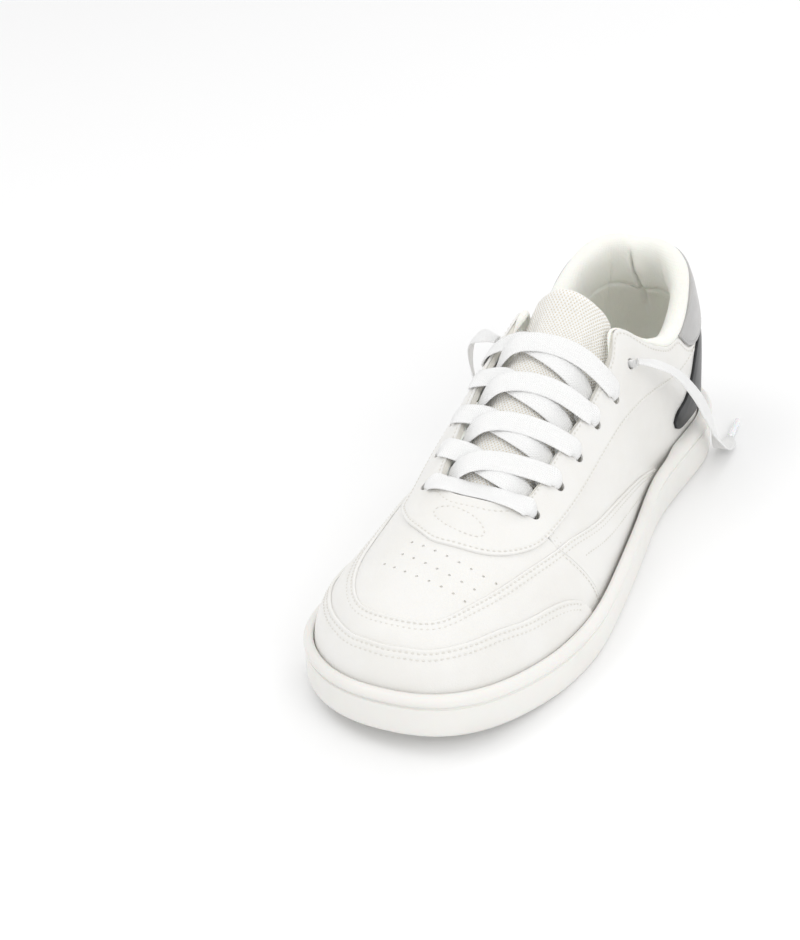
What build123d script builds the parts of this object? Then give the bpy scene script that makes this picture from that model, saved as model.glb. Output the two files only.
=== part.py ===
from build123d import *
import os
import numpy as np

os.makedirs("parts", exist_ok=True)

# ---------------------------------------------------------------------------
# Court shoe, left foot.  Millimetres.  Toe toward -Y, heel toward +Y, lateral
# (outer) side toward +X, floor at Z = 0, origin on the floor under the middle.
# ---------------------------------------------------------------------------

# --- driving dimensions ----------------------------------------------------
LENGTH = 300.0            # sole length, heel to toe
TOE_Y = -LENGTH / 2
HEEL_Y = LENGTH / 2
TOE_SPRING = 9.0          # lift of the sole edge at the toe
SPRING_START = -70.0      # the sole is flat behind this Y
UPPER_INSET = 4.0         # from the sole's side wall in to the upper

# half widths of the sole outline at stations along Y
STATIONS = [-150, -110, -70, -30, 10, 50, 90, 150]
LATERAL = [47.5, 53, 58, 57.5, 53.5, 45.5, 44.5, 45.5]
MEDIAL = [46, 50.5, 50.5, 47, 40.5, 36.5, 37, 37.5]
CENTRE_Y = [-150, -110, -60, 0, 60, 150]
CENTRE_X = [-3, -7, -4.5, -5.5, -0.5, 3]
TOE_ROUND_Y, TOE_ROUND_POWER = -82.0, 2.35
HEEL_ROUND_Y, HEEL_ROUND_POWER = 100.0, 2.2

# height of the sole's top line and of the last's ridge
RIM_Y = [-150, -70, 50, 150]
RIM_Z = [14.6, 15.6, 18.6, 19.6]
RIDGE_Y = [-150, -120, -90, -60, -30, 0, 30, 60, 150]
RIDGE_Z = [44.5, 51.5, 59, 68.5, 80.5, 94, 107.5, 115.5, 121.5]
RIDGE_ROUND_Y, RIDGE_ROUND_POWER = -108.0, 2.3
# section shape: |x/w|^side + (z/h)^crown = 1
SHAPE_Y = [-150, -90, -30, 30, 80, 150]
SIDE_POWER = [2.3, 2.2, 2.1, 2.3, 2.35, 2.4]
CROWN_POWER = [2.0, 1.9, 1.7, 2.2, 3.2, 3.5]
HEEL_CURVE_Z = [28, 50, 70, 95, 110]
HEEL_CURVE_Y = [146, 147.5, 144, 137, 134]
SPINE_FRONT, SPINE_BACK = -95.0, 100.0
END_STRIP = 1.2           # half width of the strip at toe and heel whose normals are blended


def spline_value(x, xs, ys):
    """Natural cubic spline through the stations."""
    xs = np.array(xs, float)
    ys = np.array(ys, float)
    n = len(xs)
    h = np.diff(xs)
    a = np.eye(n)
    b = np.zeros(n)
    for i in range(1, n - 1):
        a[i, i - 1] = h[i - 1]
        a[i, i] = 2 * (h[i - 1] + h[i])
        a[i, i + 1] = h[i]
        b[i] = 3 * ((ys[i + 1] - ys[i]) / h[i] - (ys[i] - ys[i - 1]) / h[i - 1])
    c = np.linalg.solve(a, b)
    i = np.clip(np.searchsorted(xs, x) - 1, 0, n - 2)
    d = np.asarray(x, float) - xs[i]
    slope = (ys[i + 1] - ys[i]) / h[i] - h[i] * (2 * c[i] + c[i + 1]) / 3
    return ys[i] + slope * d + c[i] * d**2 + (c[i + 1] - c[i]) / (3 * h[i]) * d**3


def sole_lift(y):
    """Height of the sole's underside above the floor."""
    return TOE_SPRING * np.clip((SPRING_START - y) / (SPRING_START - TOE_Y), 0, 1) ** 2


def centre_x(y):
    return spline_value(y, CENTRE_Y, CENTRE_X)


def rim_z(y):
    """Height at which the upper leaves the sole."""
    return spline_value(y, RIM_Y, RIM_Z) + sole_lift(y)


def closing(amount, power):
    return (1 - np.clip(amount, 0, 1) ** power) ** (1 / power)


def half_width(side, y, z, inset):
    """Half width on one side: side +1 is lateral, -1 is medial."""
    broad = spline_value(y, STATIONS, LATERAL if side > 0 else MEDIAL) - inset
    toe = TOE_Y + inset
    back = HEEL_Y - inset
    if z is not None:
        back = spline_value(np.clip(z, 28, 110), HEEL_CURVE_Z, HEEL_CURVE_Y)
    front = closing((TOE_ROUND_Y - y) / (TOE_ROUND_Y - toe), TOE_ROUND_POWER)
    rear = closing((y - HEEL_ROUND_Y) / (back - HEEL_ROUND_Y), HEEL_ROUND_POWER)
    return broad * front * rear


def ridge_z(y):
    rim = rim_z(y)
    full = spline_value(y, RIDGE_Y, RIDGE_Z) + sole_lift(y)
    toe = TOE_Y + UPPER_INSET
    share = (RIDGE_ROUND_Y - y) / (RIDGE_ROUND_Y - toe)
    return rim + (full - rim) * closing(share, RIDGE_ROUND_POWER)


def last_field(p):
    """Below 0 inside the upper's outer surface, above 0 outside it."""
    x, y, z = p[..., 0], p[..., 1], p[..., 2]
    rim = rim_z(y)
    cx = centre_x(y)
    wide = np.where(x >= cx, half_width(1, y, z, UPPER_INSET), half_width(-1, y, z, UPPER_INSET))
    side = spline_value(y, SHAPE_Y, SIDE_POWER)
    crown = spline_value(y, SHAPE_Y, CROWN_POWER)
    off = np.maximum(np.abs(x - cx), 0.05)
    rise = np.clip((z - rim) / np.maximum(ridge_z(y) - rim, 1e-3), 0, None)
    return (off / np.maximum(wide, 1e-3)) ** side + rise**crown - 1


def on_last(guide):
    """Moves guide points along rays from the inner spine onto the surface."""
    guide = np.asarray(guide, float)
    q = np.clip(guide[..., 1], SPINE_FRONT, SPINE_BACK)
    start = np.stack([centre_x(q), q, rim_z(q) + 2], -1)
    way = guide - start
    way /= np.linalg.norm(way, axis=-1, keepdims=True)
    low = np.zeros(guide.shape[:-1])
    high = np.full(guide.shape[:-1], 260.0)
    for _ in range(45):
        mid = (low + high) / 2
        inside = last_field(start + mid[..., None] * way) < 0
        low = np.where(inside, mid, low)
        high = np.where(inside, high, mid)
    return start + low[..., None] * way


def field_slope(p, step=0.05):
    """Unit slope of the field, from differences over a short step."""
    n = np.zeros(p.shape)
    for k in range(3):
        d = np.zeros(3)
        d[k] = step
        n[..., k] = last_field(p + d) - last_field(p - d)
    return n / np.linalg.norm(n, axis=-1, keepdims=True)


def normal_at(p):
    """Outward normals.  On the centre line at toe and heel they come from a little to the side."""
    p = np.array(p, float)
    off = p[..., 0] - centre_x(p[..., 1])
    close = (np.abs(off) < END_STRIP) & ((p[..., 1] > 120) | (p[..., 1] < -125)) & (p[..., 2] < 112)
    if np.any(close):
        moved = p[close]
        moved[:, 0] += np.where(off[close] < 0, -END_STRIP, END_STRIP) - off[close]
        p[close] = on_last(moved)
    n = field_slope(p)
    if np.any(close):
        n[close, 0] *= np.abs(off[close]) / END_STRIP
        n /= np.linalg.norm(n, axis=-1, keepdims=True)
    return n


def curve(points, count):
    """Smooth curve through guide points, sampled evenly."""
    pts = np.array(points, float)
    t = np.r_[0, np.cumsum(np.linalg.norm(np.diff(pts, axis=0), axis=1) ** 0.5)]
    fine = np.stack([spline_value(np.linspace(0, t[-1], 400), t, pts[:, k]) for k in range(3)], -1)
    s = np.r_[0, np.cumsum(np.linalg.norm(np.diff(fine, axis=0), axis=1))]
    at = np.linspace(0, s[-1], count)
    return np.stack([np.interp(at, s, fine[:, k]) for k in range(3)], -1)


def coons(low, high, first, last):
    """Grid over four boundary curves: low and high run along u, first and last along v."""
    nu, nv = len(low), len(first)
    u = np.linspace(0, 1, nu)[None, :, None]
    v = np.linspace(0, 1, nv)[:, None, None]
    ruled_v = (1 - v) * low[None] + v * high[None]
    ruled_u = (1 - u) * first[:, None] + u * last[:, None]
    corners = (1 - v) * ((1 - u) * low[0] + u * low[-1]) + v * ((1 - u) * high[0] + u * high[-1])
    return ruled_v + ruled_u - corners


def skin(grid):
    return Face.make_surface_from_array_of_points([[tuple(p) for p in row] for row in grid], tol=0.02)


def closed_by_sides(outer, inner):
    """A solid between two grids of the same size."""
    faces = [skin(outer), skin(inner)]
    out_edges, in_edges = faces[0].edges(), faces[1].edges()
    for a in out_edges:
        mate = min(in_edges, key=lambda b: (a @ 0.5 - b @ 0.5).length)
        faces.append(Face.make_surface_from_curves(a, mate))
    return Solid(Shell(Face.sew_faces(faces)[0]))

# --- sheet layers, measured inward from the outer surface --------------------
TOP_LAYER = (0.0, 1.1)          # toe cap
OVERLAY_LAYER = (1.2, 2.3)      # eyestay, foxings and heel panel
TAB_LAYER = (0.6, 2.3)          # heel tab
BASE_LAYER = (2.4, 3.5)         # vamp and quarters
BACKER_LAYER = (2.4, 4.6)       # reinforcement under the eyelets
STIFFENER_LAYER = (3.75, 4.5)   # toe puff and heel counter
LINING_THICKNESS = 0.8
LINING_DEPTH = 4.7
LOWER_EDGE = 5.5                # the upper goes this far down inside the sole

# --- sole unit ----------------------------------------------------------------
LIP_HEIGHT = 5.0                # the bead above the rim line
SOLE_FLOOR = 6.0                # outsole thickness under the foot
WALL_GAP = 0.15                 # between the upper and the sole's lip
GROOVE = 1.0                    # width and depth of the line under the bead
INSERT_INSET, BOARD_INSET, SOCK_INSET = 4.4, 10.6, 11.0
BOARD_THICKNESS, SOCK_THICKNESS = 1.5, 4.6

# --- collar, tongue and lace ----------------------------------------------------
COLLAR_SWELL = 4.6              # how much deeper the lining sits behind the pad
FOAM_GAP = 0.5
TONGUE_DEPTH_MIDDLE, TONGUE_DEPTH_SIDE = 6.3, 8.3
TONGUE_FACE, TONGUE_LINING, TONGUE_GAP = 1.0, 0.8, 0.1
TONGUE_PAD = 4.0
LACE_WIDTH, LACE_THICKNESS = 9.4, 1.0
EYELET_DIAMETER = 5.4
THROAT_SHIFT, THROAT_CORNER = 6.5, 5.5  # the medial eyelets sit inward, the eyestay's corner back
LACE_TUBE = 3.4                 # round tube with the flat lace's section area
AGLET_DIAMETER, AGLET_LENGTH = 3.2, 18.0

# guide points (distance from the centre line, Y, Z), toward the surface from inside
EYELETS = [(29.6, -57, 61), (33.3, -37, 64), (35.6, -18, 68), (36.4, 2, 73), (37.3, 21, 76), (34.5, 41, 82)]
FACING = [(0, -63.2, 67.5), (9.5, -62.8, 66.7), (17.5, -60.4, 65.8), (24.4, -53.2, 65.2), (27.3, -37, 69),
          (29.6, -19, 74), (32.2, 1, 79), (32.5, 18, 85), (30.5, 33, 91), (27, 41, 96)]
COLLAR = [(28, 46, 95.5), (32, 53, 90), (34.8, 60, 84), (36.6, 68, 79), (38.6, 79, 75.5), (39.2, 90, 77.5),
          (38.4, 99, 83), (33.5, 113, 90), (22, 127, 95), (0, 137, 97)]
EYESTAY_EDGE = [(0, -88, 61), (10, -88, 60), (18, -87, 58), (25.5, -83, 55.5), (32, -75, 53.5),
                (35.7, -67, 53), (37.8, -56, 54), (40.3, -39, 56), (42.4, -14, 60), (42, 15, 64),
                (39.8, 42, 62.5), (38.8, 61, 59.5), (39.7, 77, 57.5), (41.2, 93, 58.5), (41, 108, 62)]
EYESTAY_UNDER = [(37.8, -58, 59), (40, -39, 62), (42, -14, 67), (41, 15, 72), (39, 42, 74)]
QUARTER_BACK = [(36.5, 60, 76), (38.4, 79, 73), (38.6, 95, 79), (31, 116, 90), (0, 137.5, 94)]
FOXING_EDGE = [(0, -129.5, 50), (11, -128, 49.5), (18.5, -123, 49), (25, -114, 50), (31.5, -98, 49.5),
               (36, -82, 49.5), (40, -68, 49.5), (43.7, -50, 48.5), (48.4, -30, 45), (49.5, -4, 41),
               (48.5, 20, 36), (46.8, 38, 30)]
CAP_EDGE = [(0, -140, 43), (9, -139, 43), (16.5, -136, 42), (25, -130.5, 42), (31.5, -122, 41),
            (38.5, -110, 40), (44, -99, 38), (48, -84, 36), (51, -72, 33), (53.2, -64, 28), (54, -59.5, 22)]
VAMP_EDGE = [(0, -136, 46.5), (14, -133, 46), (24, -126, 45), (32.5, -113, 44.5), (38.5, -97, 43.5),
             (43, -80, 43), (46.5, -62, 43)]
VAMP_BACK = [(0, -69, 66), (11, -68.5, 65), (19, -66, 63), (27, -62.5, 60), (38.2, -60.2, 53),
             (46.5, -60.2, 44)]
HEEL_PANEL_TOP = [(0, 144, 63.5), (22, 134, 63.5), (35, 118, 63), (40.5, 108.5, 62), (42, 103, 54.5),
                  (42.6, 98, 46.5), (42.3, 92, 41), (41.7, 86.5, 39.3), (41.1, 82, 37.6), (40.8, 79.6, 34.2)]
HEEL_PANEL_LOW = [(0, 146, 27.5), (30, 132, 27.5), (41, 112, 27.5), (43, 94, 27.6), (42.3, 86, 28.2),
                  (41.2, 81.3, 30.6)]
HEEL_TAB_LOW = [(0, 144, 64.5), (22, 134, 64.5), (35, 118, 64.6), (40.3, 108, 65.2), (41.2, 98, 67.2),
                (40.6, 92, 72), (39.6, 88.5, 75.6)]
TONGUE_BASE = [(0, -62.5, 68), (12, -62.3, 67), (24, -61, 63), (32, -60, 57)]
TONGUE_TOP = [(0, 46, 112), (8, 46.3, 110.8), (15, 47.2, 107.6), (20.8, 48.5, 102.8), (24.5, 49.8, 97)]
TONGUE_SIDE = [(38, -35, 60), (41, -5, 65), (38, 22, 74), (30.5, 42, 87.5)]


def mirrored(half):
    """A curve from the medial end over the centre line to the lateral end."""
    return [(-a, b, c) for a, b, c in half[::-1] if a > 0] + list(half)


def smooth(x):
    x = np.clip(x, 0, 1)
    return x * x * (3 - 2 * x)


def throat_shift(g):
    """The throat sits towards the lateral side, so medial guide points on top of the foot move that way."""
    top = smooth((g[:, 2] - 49.5) / 4) * smooth((g[:, 1] + 100) / 12)
    shift = THROAT_SHIFT * top * smooth(-g[:, 0] / 16) * smooth((45 - g[:, 1]) / 45)
    return shift, THROAT_CORNER * top * smooth(-g[:, 0] / 27) * smooth((-60 - g[:, 1]) / 20)


def placed(guide):
    """Guide points with their distance from the centre line turned into X.

    The distances are those of the lateral side.  The medial side is narrower.
    """
    g = np.array(guide, float)
    medial = spline_value(g[:, 1], STATIONS, MEDIAL) - UPPER_INSET
    lateral = spline_value(g[:, 1], STATIONS, LATERAL) - UPPER_INSET
    share = np.where(g[:, 0] < 0, medial / lateral, 1.0)
    shift, back = throat_shift(g)
    return np.c_[g[:, 0] * share + centre_x(g[:, 1]) + shift, g[:, 1] + back, g[:, 2]]


def rim_curve(start, end, drop, count, around="toe"):
    """Along the sole's top line, from Y start on one side round an end to Y end on the other."""
    tip = TOE_Y + UPPER_INSET if around == "toe" else HEEL_CURVE_Y[0]
    swing = np.linspace(0, np.pi / 2, 60)
    first = start + (tip - start) * np.sin(swing)
    second = end + (tip - end) * np.sin(swing[::-1])
    side = -1
    y = np.r_[first, second[1:]]
    x = np.r_[centre_x(first) + side * half_width(side, first, first * 0, UPPER_INSET),
              (centre_x(second) - side * half_width(-side, second, second * 0, UPPER_INSET))[1:]]
    points = np.c_[x, y, rim_z(y) - drop]
    s = np.r_[0, np.cumsum(np.linalg.norm(np.diff(points, axis=0), axis=1))]
    at = np.linspace(0, s[-1], count)
    return np.stack([np.interp(at, s, points[:, k]) for k in range(3)], -1)


def rim_half(side, start, drop, count):
    """Along the sole's top line on one side, from Y start to the back of the heel."""
    y = start + (HEEL_CURVE_Y[0] - start) * np.sin(np.linspace(0, np.pi / 2, 60))
    reach = np.maximum(half_width(side, y, y * 0, UPPER_INSET), 0.2)
    points = np.c_[centre_x(y) + side * reach, y, rim_z(y) - drop]
    s = np.r_[0, np.cumsum(np.linalg.norm(np.diff(points, axis=0), axis=1))]
    at = np.linspace(0, s[-1], count)
    return np.stack([np.interp(at, s, points[:, k]) for k in range(3)], -1)


def side_rim(side, start, end, drop, count):
    y = np.linspace(start, end, count)
    x = centre_x(y) + side * half_width(side, y, y * 0, UPPER_INSET)
    return np.c_[x, y, rim_z(y) - drop]


def patch(low, high, rows, first=(), last=()):
    """Surface grid between a low and a high curve, with optional inner points on its two ends."""
    start = curve([low[0], *placed(first), high[0]] if len(first) else [low[0], high[0]], rows)
    end = curve([low[-1], *placed(last), high[-1]] if len(last) else [low[-1], high[-1]], rows)
    return on_last(coons(low, high, start, end))


def sheet(grid, layer):
    """Solid sheet between two depths under the grid."""
    inward = normal_at(grid)
    outer, inner = (np.asarray(d, float) * np.ones(grid.shape[:2]) for d in layer)
    return closed_by_sides(grid - outer[..., None] * inward, grid - inner[..., None] * inward)


def topline_points():
    half = placed(COLLAR)
    other = placed([(-a, b, c) for a, b, c in COLLAR])
    return np.vstack([on_last(curve(half, 90)), on_last(curve(other, 90))])


def collar_depth(p, edge):
    """Depth of the lining's outer face: deeper behind the collar pad."""
    gap = np.min(np.linalg.norm(p[..., None, :] - edge, axis=-1), axis=-1)
    rise = np.clip(gap / 6, 0, 1)
    fall = np.clip((30 - gap) / 16, 0, 1)
    back = np.clip((p[..., 1] - 42) / 26, 0, 1)
    smooth = (3 - 2 * fall) * fall**2 * (3 - 2 * back) * back**2
    return LINING_DEPTH + COLLAR_SWELL * smooth * (0.55 + 0.45 * (3 - 2 * rise) * rise**2)


# --- upper ----------------------------------------------------------------------
ROWS = 9                        # grid lines across a panel
SEAM = 0.4                      # gap between panels that meet edge to edge


def arch(half, count):
    """Smooth curve over the centre line, medial to lateral, from its lateral half."""
    return curve(placed(mirrored(half)), count)


def side_curve(side, guide, count):
    g = [(side * a, b, c) for a, b, c in guide]
    return curve(placed(g), count)


def side_patch(side, low_guide, high_guide, count, first=(), last=()):
    low = low_guide if isinstance(low_guide, np.ndarray) else side_curve(side, low_guide, count)
    high = side_curve(side, high_guide, count)
    turn = [[(side * a, b, c) for a, b, c in end] for end in (first, last)]
    return patch(low, high, ROWS, *turn)


def toe_cap():
    low = rim_curve(-57, -57, LOWER_EDGE, 61, "toe")
    return sheet(patch(low, arch(CAP_EDGE, 61), ROWS), TOP_LAYER)


def foxing_front():
    low = rim_curve(-44, -44, LOWER_EDGE, 71, "toe")
    high = arch(FOXING_EDGE[:6] + [(40, -68, 49.5), (41.6, -60.5, 49)], 71)
    seam = [(53.8, -48, 24), (47.6, -56, 40)]
    return sheet(patch(low, high, ROWS, [(-a, b, c) for a, b, c in seam], seam), OVERLAY_LAYER)


def foxing_side(side):
    low = side_rim(side, -44 + SEAM * 2, 62, LOWER_EDGE, 31)
    high = [(41.8, -59.6, 49)] + FOXING_EDGE[7:] + [(45.4, 56, 23)]
    seam = [(53.8, -48 + SEAM * 2, 24), (47.6, -56 + SEAM * 2, 40)]
    return sheet(side_patch(side, low, high, 31, seam), OVERLAY_LAYER)


def vamp():
    return sheet(patch(arch(VAMP_EDGE, 61), arch(VAMP_BACK, 61), ROWS), BASE_LAYER)


def quarter(side):
    low = rim_half(side, -59.5, LOWER_EDGE, 49)
    high = EYESTAY_UNDER + QUARTER_BACK[:-1] + [(SEAM / 2, 137.5, 94)]
    return sheet(side_patch(side, low, high, 49, [(46.3, -59.6, 42)]), BASE_LAYER)


def tail_edges():
    """Upper and lower edge of the eyestay, from the throat's front to its tail at the heel."""
    upper = FACING + COLLAR[:5] + [(39.3, 86, 76), (40.3, 91, 71.5), (41, 97, 66.5), (40.8, 104, 64.6)]
    lower = EYESTAY_EDGE[:-1] + [(41, 104, 61.3)]
    return lower, upper


def eyelet_holes():
    return [Cylinder(EYELET_DIAMETER / 2, 14).moved(Location(Plane(origin=tuple(p), z_dir=tuple(n))))
            for p, n in eyelet_axes()]


def eyelet_axes():
    points = np.vstack([placed(EYELETS), placed([(-a, b, c) for a, b, c in EYELETS])])
    points = on_last(points)
    return list(zip(points, normal_at(points)))


def eyestay():
    lower, upper = tail_edges()
    solid = sheet(patch(arch(lower, 121), arch(upper, 121), ROWS), OVERLAY_LAYER)
    return drilled(solid)


def drilled(solid):
    for hole in eyelet_holes():
        solid = solid - hole
    return solid


def eyestay_backer(side):
    low = [(a - 0.4, b + 1.2, c + 1.1) for a, b, c in EYESTAY_UNDER]
    return drilled(sheet(side_patch(side, low, FACING[3:], 25), BACKER_LAYER))


def heel_panel():
    return sheet(patch(arch(HEEL_PANEL_LOW, 61), arch(HEEL_PANEL_TOP, 61), ROWS), OVERLAY_LAYER)


def heel_tab():
    high = COLLAR[5:][::-1]
    high[-1] = (39.3, 88.2, 76.8)
    return sheet(patch(arch(HEEL_TAB_LOW, 61), arch(high, 61), 7), TAB_LAYER)


def toe_puff():
    low = rim_curve(-97, -97, LOWER_EDGE, 51, "toe")
    high = [(0, -112, 56), (15, -112, 55), (28, -109, 50), (40, -102, 40), (47.5, -96, 28)]
    return sheet(patch(low, arch(high, 51), ROWS), STIFFENER_LAYER)


def heel_counter():
    low = rim_curve(64, 64, LOWER_EDGE, 51, "heel")
    high = [(0, 144, 60), (22, 134, 59), (36, 115, 56), (40, 98, 50), (41.5, 80, 42), (42.5, 65, 30)]
    return sheet(patch(low, arch(high, 51), ROWS), STIFFENER_LAYER)


def vamp_lining():
    low = rim_curve(-10, -10, LOWER_EDGE, 81, "toe")
    grid = patch(low, arch(FACING[:6] + [(31, -9, 76.8)], 81), 13)
    return drilled(sheet(grid, (LINING_DEPTH, LINING_DEPTH + LINING_THICKNESS)))


def quarter_lining():
    low = rim_curve(-9, -9, LOWER_EDGE, 101, "heel")
    high = (COLLAR[::-1] + FACING[7:][::-1] + [(32.2, 1, 79), (31.1, -8.2, 76.9)])
    grid = patch(low, arch(high, 101), 21)
    depth = collar_depth(grid, topline_points())
    return drilled(sheet(grid, (depth, depth + LINING_THICKNESS)))


def collar_foam():
    low = [(0, 143, 64), (22, 133, 64), (36, 114, 63), (39.5, 98, 62), (40, 80, 62), (39.5, 67, 66),
           (37, 54, 76)]
    high = [(0, 137.2, 94.5), (22, 127, 92.5), (33.7, 113, 87.5), (38.6, 99, 80.5), (39.2, 90, 75),
            (38.6, 79, 73), (36.8, 68, 76.5), (35, 60, 81), (33, 54.5, 86)]
    grid = patch(arch(low, 71), arch(high, 71), 15)
    depth = collar_depth(grid, topline_points())
    return sheet(grid, (STIFFENER_LAYER[0], depth - FOAM_GAP))


# --- tongue -----------------------------------------------------------------------
def tongue_grid():
    other = [(-a, b, c) for a, b, c in TONGUE_SIDE]
    grid = patch(arch(TONGUE_BASE, 31), arch(TONGUE_TOP, 31), 31, other, TONGUE_SIDE)
    s = np.abs(np.linspace(-1, 1, 31))[None, :]
    v = np.linspace(0, 1, 31)[:, None]
    lift = smooth((v - 0.78) / 0.22)
    middle = TONGUE_DEPTH_MIDDLE * (1 - lift) + 1.0 * lift
    edge = TONGUE_DEPTH_SIDE + 1.2 * lift
    depth = middle + (edge - middle) * smooth((s - 0.3) / 0.3)
    along = smooth(v / 0.2) * (1 - 0.5 * smooth((v - 0.9) / 0.1))
    pad = 0.9 + (TONGUE_PAD - 0.9) * (1 - smooth((s - 0.45) / 0.5)) * along
    return grid, depth, pad


def tongue_parts():
    grid, depth, pad = tongue_grid()
    under_face = depth + TONGUE_FACE
    pad_top = under_face + TONGUE_GAP
    lining_top = pad_top + pad + TONGUE_GAP
    return {
        "tongue_face": sheet(grid, (depth, under_face)),
        "tongue_foam": sheet(grid[1:-1, 1:-1], (pad_top[1:-1, 1:-1], (pad_top + pad)[1:-1, 1:-1])),
        "tongue_lining": sheet(grid, (lining_top, lining_top + TONGUE_LINING)),
    }


# --- sole ---------------------------------------------------------------------------
def outline(inset):
    """Closed sole outline, as a flat face at Z = -20."""
    swing = np.linspace(0, np.pi, 26)
    toe, heel = TOE_Y + inset, HEEL_Y - inset
    y = (toe + heel) / 2 - (heel - toe) / 2 * np.cos(swing)
    right = np.c_[centre_x(y) + half_width(1, y, None, inset), y]
    left = np.c_[centre_x(y) - half_width(-1, y, None, inset), y]
    ring = np.vstack([right, left[-2:0:-1]])
    edge = Edge.make_spline([Vector(x, y, -20) for x, y in ring], periodic=True)
    return Face(Wire([edge]))


def column(inset):
    return extrude(outline(inset), 120, dir=(0, 0, 1))


def slab(low, high):
    """Everything across the shoe between two heights given as functions of Y."""
    y = np.linspace(TOE_Y - 12, HEEL_Y + 12, 15)
    under = Edge.make_spline([Vector(-90, b, low(b)) for b in y])
    over = Edge.make_spline([Vector(-90, b, high(b)) for b in y])
    ends = [Edge.make_line(under @ k, over @ k) for k in (0, 1)]
    return extrude(Face(Wire([under, ends[1], over, ends[0]])), 180, dir=(1, 0, 0))


def floor_slab(top):
    """As slab, from the sole's underside: flat on the floor, and rising in front of SPRING_START."""
    front = np.linspace(TOE_Y - 12, SPRING_START, 9)
    rising = Edge.make_spline([Vector(-90, b, sole_lift(b)) for b in front])
    start, knee, back = rising @ 0, Vector(-90, SPRING_START, 0), Vector(-90, HEEL_Y + 12, 0)
    flat = Edge.make_line(knee, back)
    y = np.linspace(TOE_Y - 12, HEEL_Y + 12, 15)
    over = Edge.make_spline([Vector(-90, b, top(b)) for b in y])
    ends = [Edge.make_line(start, over @ 0), Edge.make_line(back, over @ 1)]
    return extrude(Face(Wire([rising, flat, ends[1], over, ends[0]])), 180, dir=(1, 0, 0))


def between(inset, low, high):
    return column(inset) & slab(low, high)


def board_z(y):
    """Underside of the board that closes the upper."""
    return rim_z(y) - LOWER_EDGE - 0.2


def cupsole():
    solid = column(0) & floor_slab(lambda y: rim_z(y) + LIP_HEIGHT)
    solid -= between(UPPER_INSET - WALL_GAP, lambda y: sole_lift(y) + SOLE_FLOOR, lambda y: 90 + 0 * y)
    line = slab(lambda y: rim_z(y) - GROOVE, rim_z)
    solid -= (column(-1) - column(GROOVE)) & line
    return solid


def midsole_insert():
    return between(INSERT_INSET, lambda y: sole_lift(y) + SOLE_FLOOR + 0.1, lambda y: board_z(y) - 0.1)


def strobel_board():
    return between(BOARD_INSET, board_z, lambda y: board_z(y) + BOARD_THICKNESS)


def sockliner():
    low = BOARD_THICKNESS + 0.1
    return between(SOCK_INSET, lambda y: board_z(y) + low, lambda y: board_z(y) + low + SOCK_THICKNESS)


# --- lace ---------------------------------------------------------------------------
OVER, UNDER = 0.3, 6.6          # depth of a strap over and under the facings
TOP_STRAP, LOW_STRAP = 2.6, 4.3  # depth of the two crossing straps over the tongue
FULL = (LACE_WIDTH, LACE_THICKNESS)
GATHERED = (4.2, 1.4)           # the lace's section where an eyelet squeezes it


def facing_point(side, y):
    """On the throat edge of one facing at a given Y."""
    edge = np.array(FACING[3:], float)
    return (side * np.interp(y, edge[:, 1], edge[:, 0]), y, np.interp(y, edge[:, 1], edge[:, 2]))


def eyelet(side, row):
    a, b, c = EYELETS[row]
    point = on_last(placed([(side * a, b, c)]))[0]
    return point, normal_at(point)


def along_surface(start, end, normal):
    way = end - start
    way = way - way @ normal * normal
    return way / np.linalg.norm(way)


def hole_turn(side, row, face):
    """Down through one eyelet: the strap arrives over the facing and leaves under it."""
    point, normal = eyelet(side, row)
    inward = along_surface(point, on_last(placed([facing_point(side, EYELETS[row][1])]))[0], normal)
    across = face * np.cross(normal, -inward)
    steps = [(3.8, OVER, FULL), (1.7, OVER + 0.25, GATHERED), (0.4, 1.5, GATHERED), (0, 3.3, GATHERED),
             (0.4, 5.1, GATHERED), (1.7, UNDER - 0.25, GATHERED), (3.8, UNDER, FULL)]
    return [(point + inward * s - normal * d, across, size) for s, d, size in steps]


def crossing(side, row, middle, face):
    """From under the facing on one side to over the facing on the other, one row up."""
    y0, y1 = EYELETS[row][1] + 6.5, EYELETS[row + 1][1] - 1.5
    start, end = facing_point(side, y0), facing_point(-side, y1)
    stops = [(0.0, UNDER), (0.16, middle), (0.5, middle - 0.1), (0.84, middle), (1.0, OVER)]
    y = np.array([y0 + (y1 - y0) * t for t, d in stops])
    x = np.array([start[0] + (end[0] - start[0]) * t for t, d in stops])
    z = np.r_[start[2], ridge_z(y[1:4]) - 2, end[2]]
    surface = on_last(placed(np.c_[x, y, z]))
    normal = normal_at(surface)
    points = surface - np.array([d for t, d in stops])[:, None] * normal
    ways = np.gradient(points, axis=0)
    return [(p, face * np.cross(n, w / np.linalg.norm(w)), FULL) for p, n, w in zip(points, normal, ways)]


def rise(side, face):
    """Under the facing from the fifth eyelet, and up out of the sixth."""
    point, normal = eyelet(side, 5)
    back = along_surface(point, eyelet(side, 4)[0], normal)
    across = face * np.cross(normal, -back)
    steps = [(9, UNDER, FULL), (4.2, UNDER, GATHERED), (1.8, UNDER - 0.3, GATHERED), (0.4, 5.1, GATHERED),
             (0, 3.3, GATHERED), (0, 1.2, GATHERED), (0, -1.4, GATHERED)]
    return [(point + back * s - normal * d, across, size) for s, d, size in steps]


def strand(side):
    """One half of the lace, from its first eyelet up to the sixth."""
    face = 1
    stops = hole_turn(side, 0, face)
    for row in range(4):
        face = -face
        stops += crossing(side, row, LOW_STRAP if side > 0 else TOP_STRAP, face)
        side = -side
        stops += hole_turn(side, row + 1, face)
    return stops + rise(side, -face)


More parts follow.
